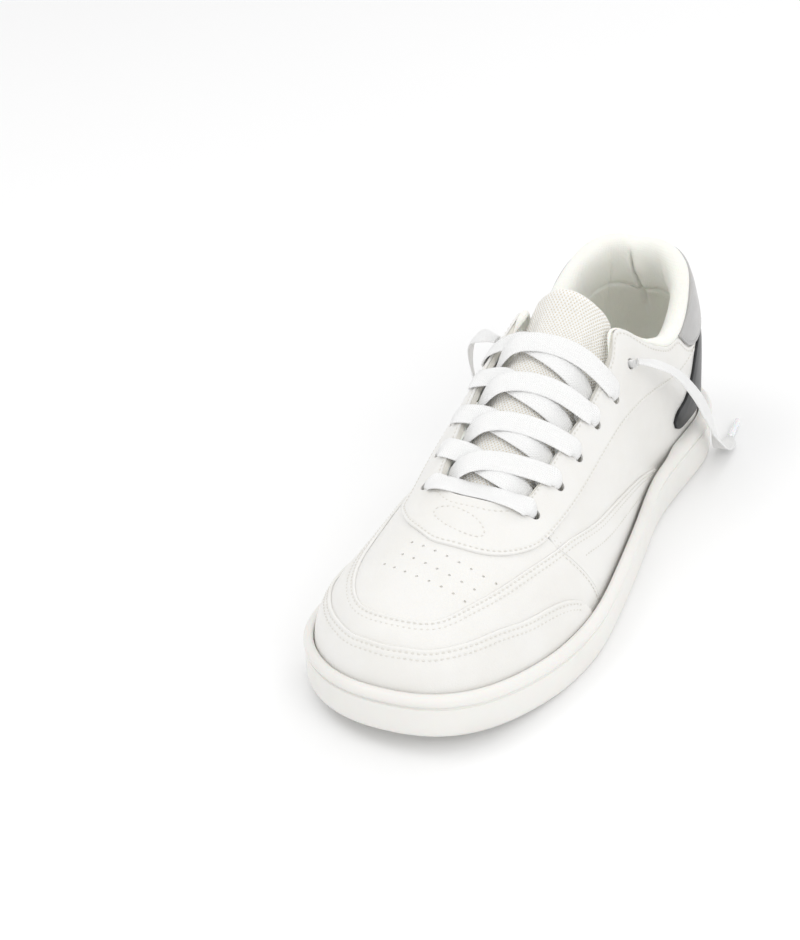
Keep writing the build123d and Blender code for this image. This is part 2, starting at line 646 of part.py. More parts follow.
def held_route():
    medial = [(p, -across, size) for p, across, size in strand(-1)[::-1]]
    guide = placed([(-20, -58, 66), (-10, -58, 68), (0, -58, 69), (10, -58, 68), (20, -58, 66)])
    surface = on_last(guide)
    normal = normal_at(surface)
    depth = np.array([0.8, 3.0, 3.9, 3.0, 0.8])[:, None]
    bar = [(p, np.array([0.0, 1.0, 0.0]), FULL) for p in surface - depth * normal]
    return medial + bar + strand(1)


def strap(stops, per_stop=2):
    """A flat strap along its stops, ruled between cross sections, and its length."""
    points = np.array([p for p, across, size in stops])
    marks = np.r_[0, np.cumsum(np.linalg.norm(np.diff(points, axis=0), axis=1) ** 0.5)]
    mark = np.interp(np.arange(0, len(points) - 1 + 1e-9, 1 / per_stop), np.arange(len(points)), marks)
    centre = np.stack([spline_value(mark, marks, points[:, k]) for k in range(3)], -1)
    across = np.stack([np.interp(mark, marks, [a[k] for p, a, s in stops]) for k in range(3)], -1)
    size = np.stack([np.interp(mark, marks, [s[k] for p, a, s in stops]) for k in range(2)], -1)
    way = np.gradient(centre, mark, axis=0)
    sections = []
    for c, a, w, (width, thickness) in zip(centre, across, way, size):
        w = w / np.linalg.norm(w)
        a = a - a @ w * w
        plane = Plane(origin=tuple(c), x_dir=tuple(a), z_dir=tuple(w))
        sections.append((plane * Rectangle(width, thickness)).wire())
    length = np.sum(np.linalg.norm(np.diff(centre, axis=0), axis=1))
    return Solid.make_loft(sections, ruled=True), length


def lace_held():
    solid, length = strap(held_route())
    print("held lace length", round(length), "volume", round(solid.volume))
    return solid


# free ends: from the sixth eyelets back and down to the floor, then along it
LATERAL_END = [(34.2, 40.6, 83.6), (42, 45.5, 81.5), (47.5, 55, 73), (50, 68, 60), (51.5, 81, 46),
               (52.5, 93, 31), (53, 103.5, 16), (52.8, 115.5, 2.2), (51.5, 131, 2.2)]
MEDIAL_END = [(-31, 40.8, 82.8), (-39.5, 43.5, 83), (-47.5, 50.5, 75.5), (-51.5, 58, 61), (-53, 66, 45),
              (-54.5, 75.5, 29), (-56, 87, 14), (-57, 100.5, 2.2), (-56, 116, 2.2)]


def corner_radii(points):
    """For each corner, 0.45 of the shorter run over the tangent of half the turn."""
    radii = []
    for a, b, c in zip(points, points[1:], points[2:]):
        run_in, run_out = Vector(b) - Vector(a), Vector(c) - Vector(b)
        turn = np.radians(run_in.get_angle(run_out))
        radii.append(0.45 * min(run_in.length, run_out.length) / np.tan(turn / 2))
    return radii


def lace_end(name, points):
    """A free lace end as a round tube of the same section area, and its aglet."""
    radii = corner_radii(points)
    path = FilletPolyline(*points, radius=radii)
    print(name, "length", round(path.length, 1), "radii", [round(r, 1) for r in radii])
    section = Plane(origin=path @ 0, z_dir=path % 0) * Circle(LACE_TUBE / 2)
    tube = sweep(section, path=path)
    print(name, "volume", round(tube.volume), "expected", round(path.length * np.pi * LACE_TUBE**2 / 4))
    way = path % 1
    start = (path @ 1) + way * (0.05 + AGLET_LENGTH / 2)
    tip = Cylinder(AGLET_DIAMETER / 2, AGLET_LENGTH).moved(Location(Plane(origin=start, z_dir=way)))
    return tube, tip


def main():
    pieces = {
        "cupsole": cupsole(),
        "midsole_insert": midsole_insert(),
        "strobel_board": strobel_board(),
        "sockliner": sockliner(),
        "toe_cap": toe_cap(),
        "foxing_front": foxing_front(),
        "foxing_lateral": foxing_side(1),
        "foxing_medial": foxing_side(-1),
        "vamp": vamp(),
        "quarter_lateral": quarter(1),
        "quarter_medial": quarter(-1),
        "eyestay": eyestay(),
        "eyestay_backer_lateral": eyestay_backer(1),
        "eyestay_backer_medial": eyestay_backer(-1),
        "heel_panel": heel_panel(),
        "heel_tab": heel_tab(),
        "toe_puff": toe_puff(),
        "heel_counter": heel_counter(),
        "vamp_lining": vamp_lining(),
        "quarter_lining": quarter_lining(),
        "collar_foam": collar_foam(),
        "lace_held": lace_held(),
    }
    pieces.update(tongue_parts())
    pieces["lace_end_lateral"], pieces["aglet_lateral"] = lace_end("lateral lace end", LATERAL_END)
    pieces["lace_end_medial"], pieces["aglet_medial"] = lace_end("medial lace end", MEDIAL_END)
    for name, solid in pieces.items():
        export_step(solid, f"parts/{name}.step")


main()
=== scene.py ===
"""Court shoe, left foot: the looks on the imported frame.  Guides are in millimetres, meshes in metres."""
import math
import bmesh
import bpy
import numpy as np
from mathutils import Matrix, Vector
from mathutils.kdtree import KDTree


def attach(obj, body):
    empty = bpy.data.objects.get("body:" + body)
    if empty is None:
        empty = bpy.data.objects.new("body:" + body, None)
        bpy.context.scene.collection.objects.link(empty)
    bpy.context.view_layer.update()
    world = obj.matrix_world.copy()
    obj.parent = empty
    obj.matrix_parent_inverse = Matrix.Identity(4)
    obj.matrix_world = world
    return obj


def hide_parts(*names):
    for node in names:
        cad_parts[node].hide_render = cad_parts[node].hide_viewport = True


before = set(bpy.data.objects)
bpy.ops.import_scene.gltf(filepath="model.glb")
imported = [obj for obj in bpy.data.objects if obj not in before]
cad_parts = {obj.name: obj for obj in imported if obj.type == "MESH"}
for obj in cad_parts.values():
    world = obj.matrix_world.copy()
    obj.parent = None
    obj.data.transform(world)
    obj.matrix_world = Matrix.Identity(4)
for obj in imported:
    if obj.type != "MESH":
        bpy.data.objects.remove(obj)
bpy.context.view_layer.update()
MM = 0.001
SHOE, TONGUE = "shoe", "tongue"

# --- the last: the same surface as the CAD part ---------------------------------------
TOE_Y, HEEL_Y = -150.0, 150.0
TOE_SPRING, SPRING_START = 9.0, -70.0
UPPER_INSET = 4.0
STATIONS = [-150, -110, -70, -30, 10, 50, 90, 150]
LATERAL = [47.5, 53, 58, 57.5, 53.5, 45.5, 44.5, 45.5]
MEDIAL = [46, 50.5, 50.5, 47, 40.5, 36.5, 37, 37.5]
CENTRE_Y = [-150, -110, -60, 0, 60, 150]
CENTRE_X = [-3, -7, -4.5, -5.5, -0.5, 3]
TOE_ROUND_Y, TOE_ROUND_POWER = -82.0, 2.35
HEEL_ROUND_Y, HEEL_ROUND_POWER = 100.0, 2.2
RIM_Y = [-150, -70, 50, 150]
RIM_Z = [14.6, 15.6, 18.6, 19.6]
RIDGE_Y = [-150, -120, -90, -60, -30, 0, 30, 60, 150]
RIDGE_Z = [44.5, 51.5, 59, 68.5, 80.5, 94, 107.5, 115.5, 121.5]
RIDGE_ROUND_Y, RIDGE_ROUND_POWER = -108.0, 2.3
SHAPE_Y = [-150, -90, -30, 30, 80, 150]
SIDE_POWER = [2.3, 2.2, 2.1, 2.3, 2.35, 2.4]
CROWN_POWER = [2.0, 1.9, 1.7, 2.2, 3.2, 3.5]
HEEL_CURVE_Z = [28, 50, 70, 95, 110]
HEEL_CURVE_Y = [146, 147.5, 144, 137, 134]
SPINE_FRONT, SPINE_BACK = -95.0, 100.0
LOWER_EDGE = 5.5
END_STRIP = 1.2
THROAT_SHIFT, THROAT_CORNER = 6.5, 5.5


def spline_value(x, xs, ys):
    """Natural cubic spline through the stations."""
    xs = np.array(xs, float)
    ys = np.array(ys, float)
    n = len(xs)
    h = np.diff(xs)
    a = np.eye(n)
    b = np.zeros(n)
    for i in range(1, n - 1):
        a[i, i - 1] = h[i - 1]
        a[i, i] = 2 * (h[i - 1] + h[i])
        a[i, i + 1] = h[i]
        b[i] = 3 * ((ys[i + 1] - ys[i]) / h[i] - (ys[i] - ys[i - 1]) / h[i - 1])
    c = np.linalg.solve(a, b)
    i = np.clip(np.searchsorted(xs, x) - 1, 0, n - 2)
    d = np.asarray(x, float) - xs[i]
    slope = (ys[i + 1] - ys[i]) / h[i] - h[i] * (2 * c[i] + c[i + 1]) / 3
    return ys[i] + slope * d + c[i] * d**2 + (c[i + 1] - c[i]) / (3 * h[i]) * d**3


def sole_lift(y):
    return TOE_SPRING * np.clip((SPRING_START - y) / (SPRING_START - TOE_Y), 0, 1) ** 2


def centre_x(y):
    return spline_value(y, CENTRE_Y, CENTRE_X)


def rim_z(y):
    return spline_value(y, RIM_Y, RIM_Z) + sole_lift(y)


def closing(amount, power):
    return (1 - np.clip(amount, 0, 1) ** power) ** (1 / power)


def half_width(side, y, z, inset):
    broad = spline_value(y, STATIONS, LATERAL if side > 0 else MEDIAL) - inset
    toe = TOE_Y + inset
    back = HEEL_Y - inset
    if z is not None:
        back = spline_value(np.clip(z, 28, 110), HEEL_CURVE_Z, HEEL_CURVE_Y)
    front = closing((TOE_ROUND_Y - y) / (TOE_ROUND_Y - toe), TOE_ROUND_POWER)
    rear = closing((y - HEEL_ROUND_Y) / (back - HEEL_ROUND_Y), HEEL_ROUND_POWER)
    return broad * front * rear


def ridge_z(y):
    rim = rim_z(y)
    full = spline_value(y, RIDGE_Y, RIDGE_Z) + sole_lift(y)
    toe = TOE_Y + UPPER_INSET
    return rim + (full - rim) * closing((RIDGE_ROUND_Y - y) / (RIDGE_ROUND_Y - toe), RIDGE_ROUND_POWER)


def last_field(p):
    x, y, z = p[..., 0], p[..., 1], p[..., 2]
    rim = rim_z(y)
    cx = centre_x(y)
    wide = np.where(x >= cx, half_width(1, y, z, UPPER_INSET), half_width(-1, y, z, UPPER_INSET))
    side = spline_value(y, SHAPE_Y, SIDE_POWER)
    crown = spline_value(y, SHAPE_Y, CROWN_POWER)
    off = np.maximum(np.abs(x - cx), 0.05)
    rise = np.clip((z - rim) / np.maximum(ridge_z(y) - rim, 1e-3), 0, None)
    return (off / np.maximum(wide, 1e-3)) ** side + rise**crown - 1


def on_last(guide):
    guide = np.asarray(guide, float)
    q = np.clip(guide[..., 1], SPINE_FRONT, SPINE_BACK)
    start = np.stack([centre_x(q), q, rim_z(q) + 2], -1)
    way = guide - start
    way /= np.linalg.norm(way, axis=-1, keepdims=True)
    low = np.zeros(guide.shape[:-1])
    high = np.full(guide.shape[:-1], 260.0)
    for _ in range(36):
        mid = (low + high) / 2
        inside = last_field(start + mid[..., None] * way) < 0
        low = np.where(inside, mid, low)
        high = np.where(inside, high, mid)
    return start + low[..., None] * way


def normal_at(p, step=0.05):
    """Outward normals.  Beside the centre line at the toe and heel they are taken a little to the side."""
    p = np.array(p, float)
    off = p[..., 0] - centre_x(p[..., 1])
    close = (np.abs(off) < END_STRIP) & ((p[..., 1] > 120) | (p[..., 1] < -125)) & (p[..., 2] < 112)
    if np.any(close):
        moved = p[close]
        moved[:, 0] += np.where(off[close] < 0, -END_STRIP, END_STRIP) - off[close]
        p[close] = on_last(moved)
    n = raw_normal(p, step)
    if np.any(close):
        n[close, 0] *= np.abs(off[close]) / END_STRIP
        n /= np.linalg.norm(n, axis=-1, keepdims=True)
    return n


def raw_normal(p, step):
    n = np.zeros(p.shape)
    for k in range(3):
        d = np.zeros(3)
        d[k] = step
        n[..., k] = last_field(p + d) - last_field(p - d)
    return n / np.linalg.norm(n, axis=-1, keepdims=True)


def curve(points, count):
    pts = np.array(points, float)
    t = np.r_[0, np.cumsum(np.linalg.norm(np.diff(pts, axis=0), axis=1) ** 0.5)]
    fine = np.stack([spline_value(np.linspace(0, t[-1], 900), t, pts[:, k]) for k in range(3)], -1)
    return spaced(fine, np.linspace(0, 1, count))


def spaced(points, share):
    """Points at the given shares of a polyline's length."""
    s = np.r_[0, np.cumsum(np.linalg.norm(np.diff(points, axis=0), axis=1))]
    return np.stack([np.interp(np.asarray(share) * s[-1], s, points[:, k]) for k in range(3)], -1)


def length_of(points):
    return float(np.sum(np.linalg.norm(np.diff(points, axis=0), axis=1)))


def ease(x):
    x = np.clip(x, 0, 1)
    return x * x * (3 - 2 * x)


def throat_shift(g):
    """The throat sits towards the lateral side, so medial guide points on top of the foot move that way."""
    top = ease((g[:, 2] - 49.5) / 4) * ease((g[:, 1] + 100) / 12)
    shift = THROAT_SHIFT * top * ease(-g[:, 0] / 16) * ease((45 - g[:, 1]) / 45)
    return shift, THROAT_CORNER * top * ease(-g[:, 0] / 27) * ease((-60 - g[:, 1]) / 20)


def placed(guide):
    g = np.array(guide, float)
    medial = spline_value(g[:, 1], STATIONS, MEDIAL) - UPPER_INSET
    lateral = spline_value(g[:, 1], STATIONS, LATERAL) - UPPER_INSET
    share = np.where(g[:, 0] < 0, medial / lateral, 1.0)
    shift, back = throat_shift(g)
    return np.c_[g[:, 0] * share + centre_x(g[:, 1]) + shift, g[:, 1] + back, g[:, 2]]


def mirrored(half):
    return [(-a, b, c) for a, b, c in half[::-1] if a > 0] + list(half)


def arch(half, count=300):
    return curve(placed(mirrored(half)), count)


def side_curve(side, guide, count=200):
    return curve(placed([(side * a, b, c) for a, b, c in guide]), count)


def rim_curve(start, end, drop, around="toe", count=400):
    tip = TOE_Y + UPPER_INSET if around == "toe" else HEEL_CURVE_Y[0]
    swing = np.linspace(0, np.pi / 2, 160)
    first = start + (tip - start) * np.sin(swing)
    second = end + (tip - end) * np.sin(swing[::-1])
    x = np.r_[centre_x(first) - half_width(-1, first, first * 0, UPPER_INSET),
              (centre_x(second) + half_width(1, second, second * 0, UPPER_INSET))[1:]]
    y = np.r_[first, second[1:]]
    return spaced(np.c_[x, y, rim_z(y) - drop], np.linspace(0, 1, count))


def side_rim(side, start, end, drop, count=200):
    y = np.linspace(start, end, count)
    return np.c_[centre_x(y) + side * half_width(side, y, y * 0, UPPER_INSET), y, rim_z(y) - drop]


def rim_half(side, start, drop, count=300):
    y = start + (HEEL_CURVE_Y[0] - start) * np.sin(np.linspace(0, np.pi / 2, 160))
    reach = np.maximum(half_width(side, y, y * 0, UPPER_INSET), 0.1)
    points = np.c_[centre_x(y) + side * reach, y, rim_z(y) - drop]
    return spaced(points, np.linspace(0, 1, count))


# --- guide points, as in the CAD part: distance from the centre line, Y, Z -----------------
EYELETS = [(29.6, -57, 61), (33.3, -37, 64), (35.6, -18, 68), (36.4, 2, 73), (37.3, 21, 76), (34.5, 41, 82)]
FACING = [(0, -63.2, 67.5), (9.5, -62.8, 66.7), (17.5, -60.4, 65.8), (24.4, -53.2, 65.2), (27.3, -37, 69),
          (29.6, -19, 74), (32.2, 1, 79), (32.5, 18, 85), (30.5, 33, 91), (27, 41, 96)]
COLLAR = [(28, 46, 95.5), (32, 53, 90), (34.8, 60, 84), (36.6, 68, 79), (38.6, 79, 75.5), (39.2, 90, 77.5),
          (38.4, 99, 83), (33.5, 113, 90), (22, 127, 95), (0, 137, 97)]
EYESTAY_EDGE = [(0, -88, 61), (10, -88, 60), (18, -87, 58), (25.5, -83, 55.5), (32, -75, 53.5),
                (35.7, -67, 53), (37.8, -56, 54), (40.3, -39, 56), (42.4, -14, 60), (42, 15, 64),
                (39.8, 42, 62.5), (38.8, 61, 59.5), (39.7, 77, 57.5), (41.2, 93, 58.5), (41, 104, 61.3)]
EYESTAY_UNDER = [(37.8, -58, 59), (40, -39, 62), (42, -14, 67), (41, 15, 72), (39, 42, 74)]
QUARTER_BACK = [(36.5, 60, 76), (38.4, 79, 73), (38.6, 95, 79), (31, 116, 90), (0.2, 137.5, 94)]
FOXING_EDGE = [(0, -129.5, 50), (11, -128, 49.5), (18.5, -123, 49), (25, -114, 50), (31.5, -98, 49.5),
               (36, -82, 49.5), (40, -68, 49.5), (43.7, -50, 48.5), (48.4, -30, 45), (49.5, -4, 41),
               (48.5, 20, 36), (46.8, 38, 30)]
CAP_EDGE = [(0, -140, 43), (9, -139, 43), (16.5, -136, 42), (25, -130.5, 42), (31.5, -122, 41),
            (38.5, -110, 40), (44, -99, 38), (48, -84, 36), (51, -72, 33), (53.2, -64, 28), (54, -59.5, 22)]
VAMP_EDGE = [(0, -136, 46.5), (14, -133, 46), (24, -126, 45), (32.5, -113, 44.5), (38.5, -97, 43.5),
             (43, -80, 43), (46.5, -62, 43)]
VAMP_BACK = [(0, -69, 66), (11, -68.5, 65), (19, -66, 63), (27, -62.5, 60), (38.2, -60.2, 53),
             (46.5, -60.2, 44)]
HEEL_PANEL_TOP = [(0, 144, 63.5), (22, 134, 63.5), (35, 118, 63), (40.5, 108.5, 62), (42, 103, 54.5),
                  (42.6, 98, 46.5), (42.3, 92, 41), (41.7, 86.5, 39.3), (41.1, 82, 37.6), (40.8, 79.6, 34.2)]
HEEL_PANEL_LOW = [(0, 146, 27.5), (30, 132, 27.5), (41, 112, 27.5), (43, 94, 27.6), (42.3, 86, 28.2),
                  (41.2, 81.3, 30.6)]
HEEL_TAB_LOW = [(0, 144, 64.5), (22, 134, 64.5), (35, 118, 64.6), (40.3, 108, 65.2), (41.2, 98, 67.2),
                (40.6, 92, 72), (39.6, 88.5, 75.6)]
TONGUE_BASE = [(0, -62.5, 68), (12, -62.3, 67), (24, -61, 63), (32, -60, 57)]
TONGUE_TOP = [(0, 46, 112), (8, 46.3, 110.8), (15, 47.2, 107.6), (20.8, 48.5, 102.8), (24.5, 49.8, 97)]
TONGUE_SIDE = [(38, -35, 60), (41, -5, 65), (38, 22, 74), (30.5, 42, 87.5)]

COLLAR_TOP = COLLAR[::-1] + FACING[7:][::-1] + [(32.2, 1, 79), (31.1, -8.2, 76.9)]
EYELET_DIAMETER = 5.4
# the pins that cut holes: radius, reach outwards and inwards, number of sides
EYELET_CUT = (EYELET_DIAMETER / 2 - 0.25, 2.5, 8, 24)
PERFORATION_CUT = (0.6, 1.0, 3.1, 14)
SOCK_INSET = 9.6
TONGUE_DEPTH_MIDDLE, TONGUE_DEPTH_SIDE = 6.3, 8.3
TONGUE_FACE, TONGUE_PAD = 1.0, 4.0
# rows of perforations on the vamp: a line through x, y, z and the number of holes along it
PERFORATIONS = [
    ([(-15.9, -89.6, 59), (-5.2, -92, 59), (7, -94.3, 57.5), (18.4, -95.2, 53.6), (23.7, -94.6, 50.8)], 8),
    ([(-16.8, -96.8, 57.5), (-5.1, -99.8, 57.7), (6.6, -102.2, 55.9), (17.8, -103, 52.1)], 7),
    ([(-22.1, -102.9, 55.2), (-11.4, -106.4, 56.4), (0, -108.6, 55.9), (7, -109.4, 54.7),
      (17, -110.6, 50.9)], 8)]
OVAL_CENTRE, OVAL_SIZE, OVAL_TILT = (-0.8, -75.1), (12.2, 4.9), -2.6
CAMERA_PLACE = (290.08, -733.43, 500.64)
CAMERA_ANGLES = (0.447648, 0.522486, -0.046024)
CAMERA_LENS = 80.827
WORLD_LIGHT = 0.87
# --- mesh tools -----------------------------------------------------------------------
def new_piece(name, verts, faces, uvs=None, smooth_limit=35.0):
    """A mesh object from millimetre points; uvs are per vertex, in millimetres along the surface."""
    mesh = bpy.data.meshes.new(name)
    mesh.from_pydata((np.asarray(verts) * MM).tolist(), [], faces)
    mesh.update()
    if uvs is not None:
        layer = mesh.uv_layers.new(name="UVMap")
        index = np.empty(len(mesh.loops), int)
        mesh.loops.foreach_get("vertex_index", index)
        layer.data.foreach_set("uv", np.asarray(uvs, float)[index].ravel())
    bad = mesh.validate(clean_customdata=False)
    if bad:
        print("note:", name, "had faces that Blender corrected")
    mesh.shade_smooth()
    mesh.set_sharp_from_angle(angle=math.radians(smooth_limit))
    obj = bpy.data.objects.new(name, mesh)
    bpy.context.scene.collection.objects.link(obj)
    return obj


def outward(obj):
    """Face normals all outward."""
    work = bmesh.new()
    work.from_mesh(obj.data)
    bmesh.ops.recalc_face_normals(work, faces=work.faces)
    work.to_mesh(obj.data)
    work.free()


def grid_faces(rows, cols, first=0, wrap=False, flip=False):
    faces = []
    for i in range(rows - 1):
        for j in range(cols if wrap else cols - 1):
            k = (j + 1) % cols
            low, high = first + i * cols, first + (i + 1) * cols
            face = (low + j, low + k, high + k, high + j)
            faces.append(face[::-1] if flip else face)
    return faces


def graded(length, near, step):
    """Parameters 0..1 along a length: fine steps near its ends, even steps between."""
    near = [d for d in near if d < length * 0.3]
    ends = np.array(near) / length
    count = max(3, int(round((1 - 2 * ends[-1]) * length / step)))
    middle = np.linspace(ends[-1], 1 - ends[-1], count + 1)[1:-1]
    return np.r_[ends, middle, 1 - ends[::-1]]


NEAR = [0, 0.12, 0.3, 0.5, 0.75, 1.0, 1.3, 1.6, 1.9, 2.2, 2.6, 3.2, 4.0]


def coons(low, high, first, last, u, v):
    """Grid between four curves, at shares u along the low and high ones and v along the two ends."""
    low, high, first, last = spaced(low, u), spaced(high, u), spaced(first, v), spaced(last, v)
    u = u[None, :, None]
    v = v[:, None, None]
    ruled = (1 - v) * low[None] + v * high[None] + (1 - u) * first[:, None] + u * last[:, None]
    corner = (1 - u) * (1 - v) * low[0] + u * (1 - v) * low[-1] + (1 - u) * v * high[0] + u * v * high[-1]
    return ruled - corner


def panel_grid(low, high, first=(), last=(), step=2.2, near=NEAR):
    """Fine grid on the last between a low and a high curve, with guide points on its two ends."""
    start = curve([low[0], *placed(first), high[0]], 300) if len(first) else np.linspace(low[0], high[0], 50)
    end = curve([low[-1], *placed(last), high[-1]], 300) if len(last) else np.linspace(low[-1], high[-1], 50)
    u = graded((length_of(low) + length_of(high)) / 2, near, step)
    middle = np.linalg.norm(low[len(low) // 2] - high[len(high) // 2])
    v = graded(max(length_of(start), length_of(end), middle), near, step)
    grid = coons(low, high, start, end, u, v)
    return on_last(grid)


def edge_gap(grid):
    """Distance in millimetres of every grid point from each of the four edges: low, high, first, last."""
    along_v = np.cumsum(np.linalg.norm(np.diff(grid, axis=0, prepend=grid[:1]), axis=2), axis=0)
    along_u = np.cumsum(np.linalg.norm(np.diff(grid, axis=1, prepend=grid[:, :1]), axis=2), axis=1)
    return along_v, along_v[-1:] - along_v, along_u, along_u[:, -1:] - along_u


def nearest(points, line):
    """Distance from each point to a line of closely spaced points."""
    tree = KDTree(len(line))
    for i, p in enumerate(line):
        tree.insert(p, i)
    tree.balance()
    flat = points.reshape(-1, 3)
    return np.array([tree.find(p)[2] for p in flat]).reshape(points.shape[:-1])


def closed_pair(name, outer, inner, uvs=None):
    """A closed solid from two grids of the same size."""
    rows, cols = outer.shape[:2]
    size = rows * cols
    border = ([(0, j) for j in range(cols)] + [(i, cols - 1) for i in range(1, rows)]
              + [(rows - 1, j) for j in range(cols - 2, -1, -1)] + [(i, 0) for i in range(rows - 2, 0, -1)])
    at = [i * cols + j for i, j in border]
    sides = [(b, a, a + size, b + size) for a, b in zip(at, at[1:] + at[:1])]
    faces = grid_faces(rows, cols) + grid_faces(rows, cols, size, flip=True) + sides
    verts = np.vstack([outer.reshape(-1, 3), inner.reshape(-1, 3)])
    if uvs is not None:
        uvs = np.vstack([uvs.reshape(-1, 2)] * 2)
    obj = new_piece(name, verts, faces, uvs)
    outward(obj)
    return obj


# depths of each layer's outer and inner skin under the last
TOP_LAYER, OVERLAY_LAYER, BASE_LAYER, LINING_LAYER = (0.0, 1.1), (1.2, 2.3), (2.4, 3.5), (4.7, 5.5)
TAB_LAYER = (0.6, 2.3)
SEAM_RADIUS = 0.12      # rounding of edges that butt together
ALL_CUT = (True, True, True, True)
ROUNDING = 0.7          # radius of a cut leather edge
STITCH_DIP = 0.28       # how far a row of stitches pulls the leather in


def panel(name, grid, layer, raw=(False, True, False, False), rows=(), puff=0.0):
    """A closed leather panel: outer skin with rounded cut edges and dips along its stitch rows."""
    gaps = edge_gap(grid)
    inward = normal_at(grid)
    depth = np.full(grid.shape[:2], float(layer[0]))
    for cut_edge, gap in zip(raw, gaps):
        if cut_edge:
            radius = ROUNDING if cut_edge is True else cut_edge
            inside = np.clip(gap / radius, 0, 1)
            depth += radius * (1 - np.sqrt(1 - (1 - inside) ** 2))
    for row in rows:
        depth += STITCH_DIP * np.exp(-(nearest(grid, row) / 0.7) ** 2)
    if puff:
        inner = np.minimum.reduce([g for c, g in zip(raw, gaps) if c])
        depth -= puff * np.clip(inner / 6, 0, 1) * np.exp(-np.maximum(inner - 6, 0) / 8)
    outer = grid - depth[..., None] * inward
    inner = grid - np.maximum(layer[1], depth + 0.15)[..., None] * inward
    return closed_pair(name, outer, inner, np.stack([gaps[2], gaps[0]], -1))


THREAD_LENGTH, THREAD_WIDTH, THREAD_PITCH = 1.55, 0.56, 2.4


def stitches(name, lines, depth):
    """Sewing thread along lines on the last: one small arched stitch after another."""
    sides, rings = 8, [(-0.5, 0.35, -0.30), (-0.42, 0.8, -0.02), (-0.2, 1.0, 0.16), (0.0, 1.0, 0.2),
                       (0.2, 1.0, 0.16), (0.42, 0.8, -0.02), (0.5, 0.35, -0.30)]
    verts, faces = [], []
    turn = np.linspace(0, 2 * np.pi, sides, endpoint=False)
    for line in lines:
        count = max(2, int(length_of(line) / THREAD_PITCH))
        share = (np.arange(count) + 0.5) / count
        centre = on_last(spaced(line, share))
        way = on_last(spaced(line, np.clip(share + 0.4 / count, 0, 1))) - on_last(
            spaced(line, np.clip(share - 0.4 / count, 0, 1)))
        way /= np.linalg.norm(way, axis=1, keepdims=True)
        up = normal_at(centre)
        across = np.cross(up, way)
        for c, w, n, a in zip(centre, way, up, across):
            first = len(verts)
            for along, fat, high in rings:
                middle = c - n * depth + w * along * THREAD_LENGTH + n * high
                r = THREAD_WIDTH / 2 * fat
                verts += [middle + r * (math.cos(t) * a + 0.75 * math.sin(t) * n) for t in turn]
            faces += [(first + i * sides + j, first + i * sides + (j + 1) % sides,
                       first + (i + 1) * sides + (j + 1) % sides, first + (i + 1) * sides + j)
                      for i in range(len(rings) - 1) for j in range(sides)]
            faces.append(tuple(first + j for j in range(sides))[::-1])
            faces.append(tuple(first + (len(rings) - 1) * sides + j for j in range(sides)))
    obj = new_piece(name, verts, faces)
    outward(obj)
    return obj


def cut(obj, cutters):
    """Boolean away the cutters, merged into one mesh, and drop them."""
    mod = obj.modifiers.new("cut", "BOOLEAN")
    mod.operation = "DIFFERENCE"
    mod.solver = "EXACT"
    mod.object = cutters
    bpy.context.view_layer.update()
    result = bpy.data.meshes.new_from_object(obj.evaluated_get(bpy.context.evaluated_depsgraph_get()))
    result.set_sharp_from_angle(angle=math.radians(35))
    obj.modifiers.clear()
    old = obj.data
    obj.data = result
    bpy.data.meshes.remove(old)
    bpy.data.objects.remove(cutters, do_unlink=True)
    return obj


def pins(name, centres, normals, radius, above, below, sides):
    """Short rods across the leather, to cut holes with."""
    verts, faces = [], []
    turn = np.linspace(0, 2 * np.pi, sides, endpoint=False)
    for c, n in zip(centres, normals):
        side = np.cross(n, [0.3, 1.0, 0.2])
        side /= np.linalg.norm(side)
        other = np.cross(n, side)
        first = len(verts)
        for level in (above, -below):
            verts += [c + n * level + radius * (math.cos(t) * side + math.sin(t) * other) for t in turn]
        faces += [(first + j, first + (j + 1) % sides, first + sides + (j + 1) % sides, first + sides + j)
                  for j in range(sides)]
        faces.append(tuple(first + j for j in range(sides))[::-1])
        faces.append(tuple(first + sides + j for j in range(sides)))
    obj = new_piece(name, verts, faces)
    outward(obj)
    return obj


def finish_piece(obj, slot, nodes=(), body=SHOE, look=None):
    """Give a piece its material, named by its slot or look, and the body that it rides on, and hide the CAD
    nodes that it stands for.
    """
    obj.data.materials.clear()
    obj.data.materials.append(MATERIALS[look or slot])
    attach(obj, body)
    if nodes:
        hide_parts(*nodes)
    return obj

